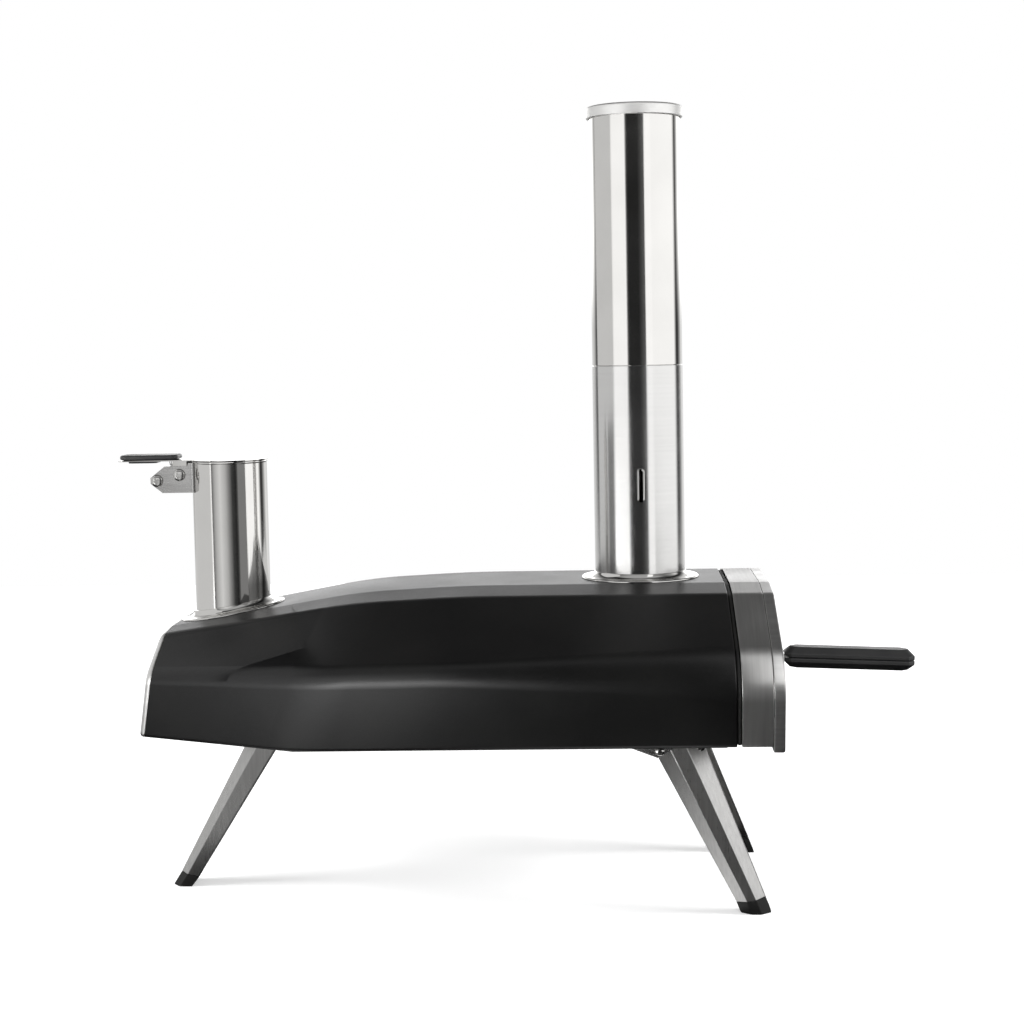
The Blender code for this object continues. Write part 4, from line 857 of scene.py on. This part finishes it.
def make_door():
    """The door pan with its rolled rim and a bead pressed round its face, and the handle."""
    back, face = DOOR_X
    behind = [(0.0160, face - 0.0012), (0.0020, face - 0.0012), (0.0012, face - 0.0022)]
    front = [(0.0012, back), (0.0004, back), (0.0, back + 0.0005), (0.0, face - 0.0018),
             (0.0003, face - 0.0007), (0.0010, face - 0.0001), (0.0020, face), (0.0120, face),
             (0.0130, face - 0.0007), (0.0150, face - 0.0007), (0.0160, face)]
    pan = loft([front_ring(deep, x, DOOR_DROP) for deep, x in behind + front])
    build("door_pan", pan, "door", "door_panel", crease=50)

    face_x = face + (HANDLE_ROOT_Z - BASE_Z) * FRONT_LEAN + GAP
    slant = posed((HANDLE_X[0], 0, HANDLE_ROOT_Z), HANDLE_DROOP, "Y")
    length = (HANDLE_X[1] - HANDLE_X[0]) / cos(HANDLE_DROOP) - HANDLE_HALF_HEIGHT * tan(HANDLE_DROOP)
    pocket_end = TANG_END_X - HANDLE_X[0] + 0.001
    reach = TANG_HALF_HEIGHT + GAP
    for level, sign in (("upper", 1), ("lower", -1)):
        near, far = sign * 0.00015, sign * HANDLE_HALF_HEIGHT
        levels = ((near, 0.0005), (near + sign * 0.0006, 0.0), (far - sign * HANDLE_CHAMFER, 0.0),
                  (far, HANDLE_CHAMFER))
        half = loft([handle_outline(length, shrink, z) for z, shrink in levels])
        cutters = [box((-0.01, -TANG_HALF_WIDTH - GAP, -reach), (pocket_end, TANG_HALF_WIDTH + GAP, reach)),
                   prism_y(((-0.001, -0.0036), (0.0045, 0.0), (-0.001, 0.0036)), -0.02, 0.02)]
        if sign < 0:
            cutters += [upright(x, SCREW_WELL_RADIUS, -0.02, 0, 32) for x in HANDLE_SCREWS]
        half = moved(combine(half, *cutters), slant)
        build(f"grip_{level}", half, "plastic", f"door_handle_{level}", bevel=0.0007)
    for index, x in enumerate(HANDLE_SCREWS):
        place = slant @ posed((x, 0, SCREW_WELL_DEPTH - HANDLE_HALF_HEIGHT), pi, "X")
        head = screw_head(0.0030, 0.0016, place)
        build(f"grip_screw_{index + 1}", head, "hardware", f"handle_screw_{index + 1}")

    start = face_x - HANDLE_X[0]
    tang = box((start + 0.0006, -TANG_HALF_WIDTH, -TANG_HALF_HEIGHT),
               (TANG_END_X - HANDLE_X[0], TANG_HALF_WIDTH, TANG_HALF_HEIGHT))
    (low, high), side = TANG_FOOT_Z, TANG_FOOT_HALF_WIDTH
    corners = [(side, high), (-side, high), (-side, low), (side, low)]
    foot = loft([[(x + (z - HANDLE_ROOT_Z) * FRONT_LEAN, y, z) for y, z in corners]
                 for x in (face_x, face_x + TANG_FOOT_THICKNESS)])
    tang = combine(moved(tang, slant), foot, operation="UNION")
    build("handle_tang", tang, "plate", "door_tang", bevel=0.0003)


def handle_outline(length, shrink, z):
    """The handle's long octagon, as seen from above."""
    end, side = length - shrink, HANDLE_HALF_WIDTH - shrink
    return [(x, y, z) for x, y in octagon((shrink, -side), (end, side), HANDLE_CORNER)]


def leg_outline(width, thickness):
    """Half-open channel of five panels with rounded folds: (across, depth) round its section."""
    web, chamfer = width / 6, LEG_CHAMFER_SHARE * width
    depth, half = chamfer + LEG_SIDE_SHARE * width, width / 2
    corners = [(half, depth), (half, chamfer), (web, 0), (-web, 0), (-half, chamfer), (-half, depth)]
    points = inset([Vector((0, -across, -deep)) for across, deep in corners], -thickness, closed=False)
    radius = LEG_FOLD_RADIUS - thickness * 0.6
    points = rounded(points, [0, radius, radius, radius, radius, 0], False, 4)
    return [(-p.y, -p.z) for p in points]


def leg_station(level, thickness, place):
    outline = leg_outline(LEG_WIDTHS[level], thickness)
    return [[*place(level, across, deep), LEG_Z[level]] for across, deep in outline]


def front_place(side):
    return lambda level, across, deep: (FRONT_LEG_X[level] + across, side * (FRONT_LEG_Y[level] - deep))


def rear_place(level, across, deep):
    return REAR_LEG_X[level] + deep, across


def pivot_bore(pivot_x):
    return rod(PIN_RADIUS + GAP, -0.2, 0.2, 24, facing_y(pivot_x, LEG_PIVOT_Z))


def make_leg(name, node, place, pivot_x, slope, look):
    outers, inners = ([leg_station(level, thickness, place) for level in (0, 1)]
                      for thickness in (0.0, LEG_THICKNESS))
    centre = sum(point[0] for point in outers[1]) / len(outers[1])
    along = (outers[0][0][0] - outers[1][0][0]) / (LEG_Z[0] - LEG_Z[1])
    for row in (outers[1], inners[1]):
        for point in row:
            floor_glow_with_painted_shade = slope * (point[0] - centre)
            point[2] += floor_glow_with_painted_shade
            point[0] += floor_glow_with_painted_shade * along
    leg = combine(sheet(outers, inners, closed=False), pivot_bore(pivot_x))
    build(name, leg, look, node, bevel=0.00025, crease=50)

    top = [Vector((x, y, z - GAP)) for x, y, z in outers[1]]
    lean = (outers[1][0][0] - outers[0][0][0]) / (LEG_Z[0] - LEG_Z[1])
    sole = [Vector((x + z * lean, y, 0.0)) for x, y, z in top]
    middle = sum(sole, Vector()) / len(sole)
    centre = sum(top, Vector()) / len(top)
    rings = [[p + (middle - p).normalized() * 0.0007 for p in sole]]
    rings += [[p.lerp(q, share) for p, q in zip(sole, top)] for share in (0.08, 0.93)]
    rings += [[p + (centre - p).normalized() * 0.0004 for p in top]]
    build(f"{name}_cap", loft(rings), "rubber", f"{node}_foot", crease=50)


def make_leg_bracket(name, node, outline, cheeks, flange, pivot_x, pin_ends, head_sign):
    low, high = flange
    top = BRACKET_TOP_Z
    plate = box((low[0], low[1], top - BRACKET_THICKNESS), (high[0], high[1], top))
    plate = combine(plate, *[prism_y(outline, *sorted(cheek)) for cheek in cheeks], operation="UNION")
    plate = combine(plate, pivot_bore(pivot_x))
    build(f"{name}_mount", plate, "plate", f"{node}_bracket", bevel=0.0003)
    near, far = pin_ends
    head = screw_head(PIN_HEAD_RADIUS, 0.0022, Matrix.Rotation(pi, 4, "X"), base=-near)
    shank = turned([(0, near - 0.0002), (PIN_RADIUS, near - 0.0002), (PIN_RADIUS, far), (0.0034, far),
                    (0.0034, far + 0.0012), (0.0028, far + 0.0015), (0, far + 0.0015)], 32)
    pin = moved(join(head, shank), facing_y(pivot_x, LEG_PIVOT_Z, sign=head_sign))
    build(f"{name}_pivot", pin, "hardware", f"{node}_pin")


def make_legs():
    top = BRACKET_TOP_Z - 0.0005
    cheek_line = [(0.1010, top), (0.1044, 0.1500), (0.1275, 0.1412), (0.1300, 0.1412), (0.1410, 0.1490),
                  (0.1470, top)]
    outer = FRONT_LEG_Y[0] + SPLAY_CLEARANCE
    for side, sign in SIDES:
        name, node = f"{side}_leg", f"front_{side}_leg"
        make_leg(name, node, front_place(sign), FRONT_PIVOT_X, LEG_CUT_SLOPE, "leg")
        cheek = (sign * outer, sign * (outer + BRACKET_THICKNESS))
        low, high = sorted((sign * (outer + BRACKET_THICKNESS), sign * 0.078))
        pin_ends = (-(outer + BRACKET_THICKNESS + GAP), -0.0945)
        make_leg_bracket(name, node, cheek_line, [cheek], ((0.0990, low), (0.1760, high)), FRONT_PIVOT_X,
                         pin_ends, -sign)
        rivet = screw_head(0.0042, 0.0020, facing_y(LEG_RIVET_X, LEG_RIVET_Z, sign * LEG_RIVET_Y, sign))
        build(f"{name}_rivet", rivet, "hardware", node, extra=True)
    make_leg("back_leg", "rear_leg", rear_place, REAR_PIVOT_X, -LEG_CUT_SLOPE, "rear_leg")
    cheek_line = [(-0.2080, top), (-0.2160, 0.1440), (-0.2210, 0.1400), (-0.2300, 0.1400), (-0.2400, 0.1460),
                  (-0.2520, top)]
    outer = LEG_WIDTHS[0] / 2 + GAP
    cheeks = [(sign * outer, sign * (outer + BRACKET_THICKNESS)) for sign in (1, -1)]
    reach = outer + BRACKET_THICKNESS + GAP
    make_leg_bracket("back_leg", "rear_leg", cheek_line, cheeks, ((-0.2540, -0.034), (-0.2060, 0.034)),
                     REAR_PIVOT_X, (-reach, reach), 1)


def dress_inside():
    """Looks for the CAD nodes that stay shown: the pieces inside the body."""
    inside = {"inner_chamber": "dark", "chamber_rear_wall": "dark", "insulation_blanket": "fibre",
              "pizza_stone": "stone", "burner_box": "dark", "fuel_tray": "dark", "chimney_outlet": "dark",
              "chimney_sleeve": "tube", "door_inner_plate": "dark"}
    for node, look in inside.items():
        mesh = frame["nodes"][node].data
        mesh.materials.clear()
        mesh.materials.append(LOOKS[look])


# Camera, floor and light

def make_camera():
    """A long lens half a metre up, looking slightly down at the near side."""
    yaw, pitch, roll = -0.0479, 0.0842, 0.0191
    camera = put("camera", bpy.data.cameras.new("camera"))
    aim = Matrix.Rotation(pi / 2 - pitch, 4, "X") @ Matrix.Rotation(-roll, 4, "Z")
    camera.matrix_world = posed((0.0864, -1.8539, 0.5087), -yaw, "Z") @ aim
    camera.data.lens, camera.data.sensor_width = 69.93, 36.0
    bpy.context.scene.camera = camera


# The room's brightness by compass angle in degrees: 0 is towards the near side, 90 towards the mouth.
ROOM = ((-180, 0.66), (-157, 0.76), (-139, 0.50), (-131, 0.12), (-123, 0.12), (-116, 0.62), (-85, 0.60),
        (-72, 0.58), (-64, 1.00), (-60, 1.15), (-28, 1.15), (37, 1.15), (108, 1.20), (118, 0.06),
        (127, 0.04), (138, 0.40), (150, 0.90), (180, 0.70))
# Its brightness by height, from straight down at 0 over eye level at 0.5 to straight up at 1.
ROOM_FALL = ((0.0, 0.05), (0.30, 0.2), (0.42, 1.0), (0.70, 1.0), (0.79, 0.30), (0.87, 0.07), (1.0, 0.05))
BACK_GLOW = ((0.505, 0.0), (0.53, 1.0), (0.60, 0.7), (0.66, 0.0))
FRONT_SKY = ((0.84, 0.0), (0.90, 0.18), (1.0, 0.18))
FLOOR_HALF = 2.4


def make_room():
    """A room that only lights and is reflected: bands of wall, a low glow behind and a dim sky in front."""
    world = bpy.data.worlds.new("room")
    bpy.context.scene.world = world
    world.use_nodes = True
    tree = world.node_tree
    parts = add(tree, "SeparateXYZ", {0: add(tree, "TexCoord").outputs["Generated"]}).outputs
    angle = maths(tree, "ARCTAN2", parts["X"], maths(tree, "MULTIPLY", parts["Y"], -1.0))
    turn = spread(tree, angle, source=(-pi, pi))
    wall = ramp(tree, turn, [((degrees + 180) / 360, value / 2) for degrees, value in ROOM])
    height = spread(tree, parts["Z"], source=(-1, 1))
    wall = maths(tree, "MULTIPLY", wall, ramp(tree, height, ROOM_FALL))
    behind = spread(tree, parts["Y"], source=(0.5, 0.95))
    glow = maths(tree, "MULTIPLY", behind, ramp(tree, height, BACK_GLOW))
    ahead = spread(tree, parts["Y"], source=(-0.02, -0.25))
    sky = maths(tree, "MULTIPLY", ahead, ramp(tree, height, FRONT_SKY))
    level = maths(tree, "ADD", maths(tree, "ADD", wall, sky), glow)
    level = maths(tree, "MULTIPLY", level, 2.0)
    seen = add(tree, "LightPath").outputs["Is Camera Ray"]
    strength = add(tree, "Mix", {0: seen, 2: level, 3: 1.0}).outputs[0]
    connect(tree, tree.nodes["Background"], Color=(1, 1, 1, 1), Strength=strength)


def make_floor():
    """A white table that glows for the eye, less near the oven: a painted shade round it. Reflections see a
    painted glow instead, patchy on its near side and round its edge, dark next to the oven.
    """
    size = FLOOR_HALF
    floor = panel("floor", [(-size, -size, 0), (size, -size, 0), (size, size, 0), (-size, size, 0)])
    look, tree, shader = new_look("white_table")
    tree.nodes.remove(shader)
    place = coordinates(tree)
    parts = add(tree, "SeparateXYZ", {0: place}).outputs
    far = add(tree, "VectorMath", {0: place}, operation="LENGTH").outputs["Value"]
    shade = add(tree, "BsdfDiffuse", {"Color": (0.85, 0.85, 0.85, 1)})
    # Painted shade: the table's glow is half strength within half a metre of the oven and full beyond 1.3 m,
    # so the floor round the oven reads grey.
    floor_glow_with_painted_shade = add(tree, "Emission", {"Strength": spread(tree, far, 0.50, 1.0, (0.5, 1.3))})
    eye = add(tree, "AddShader", {0: shade.outputs[0], 1: floor_glow_with_painted_shade.outputs[0]})

    def patch(x_ends, across, y_ends, ahead):
        """A glow that changes from left to right and from the oven towards the front."""
        x, y = (spread(tree, parts[axis], source=ends) for axis, ends in (("X", x_ends), ("Y", y_ends)))
        return maths(tree, "MULTIPLY", ramp(tree, x, across), ramp(tree, y, ahead))

    # Painted reflection: the glow reflections see on the near side, dark right next to the oven as a painted
    # shade, with a bright patch under the front leg.
    wide = patch((-0.80, 0.20), ((0.0, 0.35), (0.30, 0.50), (0.50, 0.95), (0.66, 1.0), (0.73, 0.35),
                                 (0.80, 0.05), (1.0, 0.01)),
                 (-0.15, -1.65), ((0.0, 0.0), (0.08, 0.04), (0.20, 0.40), (0.40, 1.0), (0.75, 0.5),
                                  (1.0, 0.2)))
    under = patch((-0.10, 0.20), ((0.0, 0.0), (0.25, 0.3), (0.5, 0.6), (0.85, 0.85), (0.97, 0.85),
                                  (1.0, 0.0)),
                  (-0.05, -0.25), ((0.0, 0.0), (0.3, 1.0), (0.65, 1.0), (0.85, 0.0)))
    edge = spread(tree, far, 0.0, 0.7, (1.3, 2.0))
    glow = maths(tree, "ADD", maths(tree, "ADD", maths(tree, "MULTIPLY", wide, 9.0), under), edge)
    bounce = add(tree, "Emission", {"Strength": glow})
    seen = add(tree, "LightPath").outputs["Is Camera Ray"]
    mix = add(tree, "MixShader", {0: seen, 1: bounce.outputs[0], 2: eye.outputs[0]})
    connect(tree, tree.nodes["Material Output"], Surface=mix.outputs[0])
    floor.data.materials.append(look)


def make_card(name, ends, heights, levels):
    """An upright card that only reflections see. Its levels are (position, brightness) from end to end."""
    (x0, y0), (x1, y1) = ends
    low, high = heights
    card = panel(name, [(x0, y0, low), (x1, y1, low), (x1, y1, high), (x0, y0, high)])
    look, tree, shader = new_look(name)
    tree.nodes.remove(shader)
    parts = add(tree, "SeparateXYZ", {0: coordinates(tree)}).outputs
    axis, ends = ("X", (x0, x1)) if abs(x1 - x0) > abs(y1 - y0) else ("Y", (y0, y1))
    level = ramp(tree, spread(tree, parts[axis], source=ends), levels)
    glow = add(tree, "Emission", {"Strength": maths(tree, "MULTIPLY", level, 1.5)})
    connect(tree, tree.nodes["Material Output"], Surface=glow.outputs[0])
    card.data.materials.append(look)
    card.visible_camera = card.visible_diffuse = card.visible_shadow = False


def make_lamp(name, spot, power):
    """A soft side lamp, left out of reflections, that throws the shadows on the table."""
    lamp = put(name, bpy.data.lights.new(name, "AREA"))
    lamp.data.energy, lamp.data.size = power, 0.7
    lamp.location = spot
    lamp.rotation_euler = (Vector((0, 0, 0.1)) - Vector(spot)).to_track_quat("-Z", "Y").to_euler()
    lamp.visible_camera = lamp.visible_glossy = False


make_body()
make_front()
make_rear()
make_hatch()
make_chimney()
make_hopper()
make_lid_bracket()
make_lid()
make_door()
make_legs()
dress_inside()
make_camera()
make_room()
make_floor()
CARDS = {
    "chimney_card": (((-0.09, -0.45), (0.36, -0.45)), (0.20, 0.79),
                     ((0.0, 0.35), (0.03, 0.25), (0.07, 0.03), (0.15, 0.012), (0.55, 0.012), (0.68, 0.04),
                      (0.82, 0.075), (0.95, 0.22), (1.0, 0.5))),
    "hopper_card": (((-0.41, -0.15), (-0.178, -0.15)), (0.22, 0.42),
                    ((0.0, 0.05), (0.17, 0.30), (0.41, 0.50), (0.59, 0.33), (0.68, 0.17), (0.79, 0.03),
                     (0.93, 0.01), (1.0, 0.06))),
    "hopper_wing": (((-0.178, -0.15), (-0.204, -0.055)), (0.22, 0.42),
                    ((0.0, 0.08), (0.2, 0.15), (1.0, 0.15))),
    "band_card": (((0.216, -0.27), (0.32, -0.27)), (0.215, 0.75), ((0.0, 0.5), (0.12, 0.80), (1.0, 0.80))),
    "low_card": (((-0.10, -0.62), (0.36, -0.62)), (0.0, 0.20), ((0.0, 0.2), (0.3, 0.015), (1.0, 0.015))),
    "rear_leg_card": (((-0.40, -0.12), (-0.20, -0.12)), (0.0, 0.13), ((0.0, 0.24), (1.0, 0.15))),
    "left_card": (((-0.90, -0.51), (-0.90, 0.62)), (0.0, 1.5), ((0.0, 0.44), (1.0, 0.44))),
}
for name, (ends, heights, levels) in CARDS.items():
    make_card(name, ends, heights, levels)
make_lamp("left_lamp", (-1.5, -0.2, 0.8), 22.0)
make_lamp("right_lamp", (1.6, -0.2, 0.8), 28.0)
bpy.context.scene.view_settings.view_transform = "Standard"
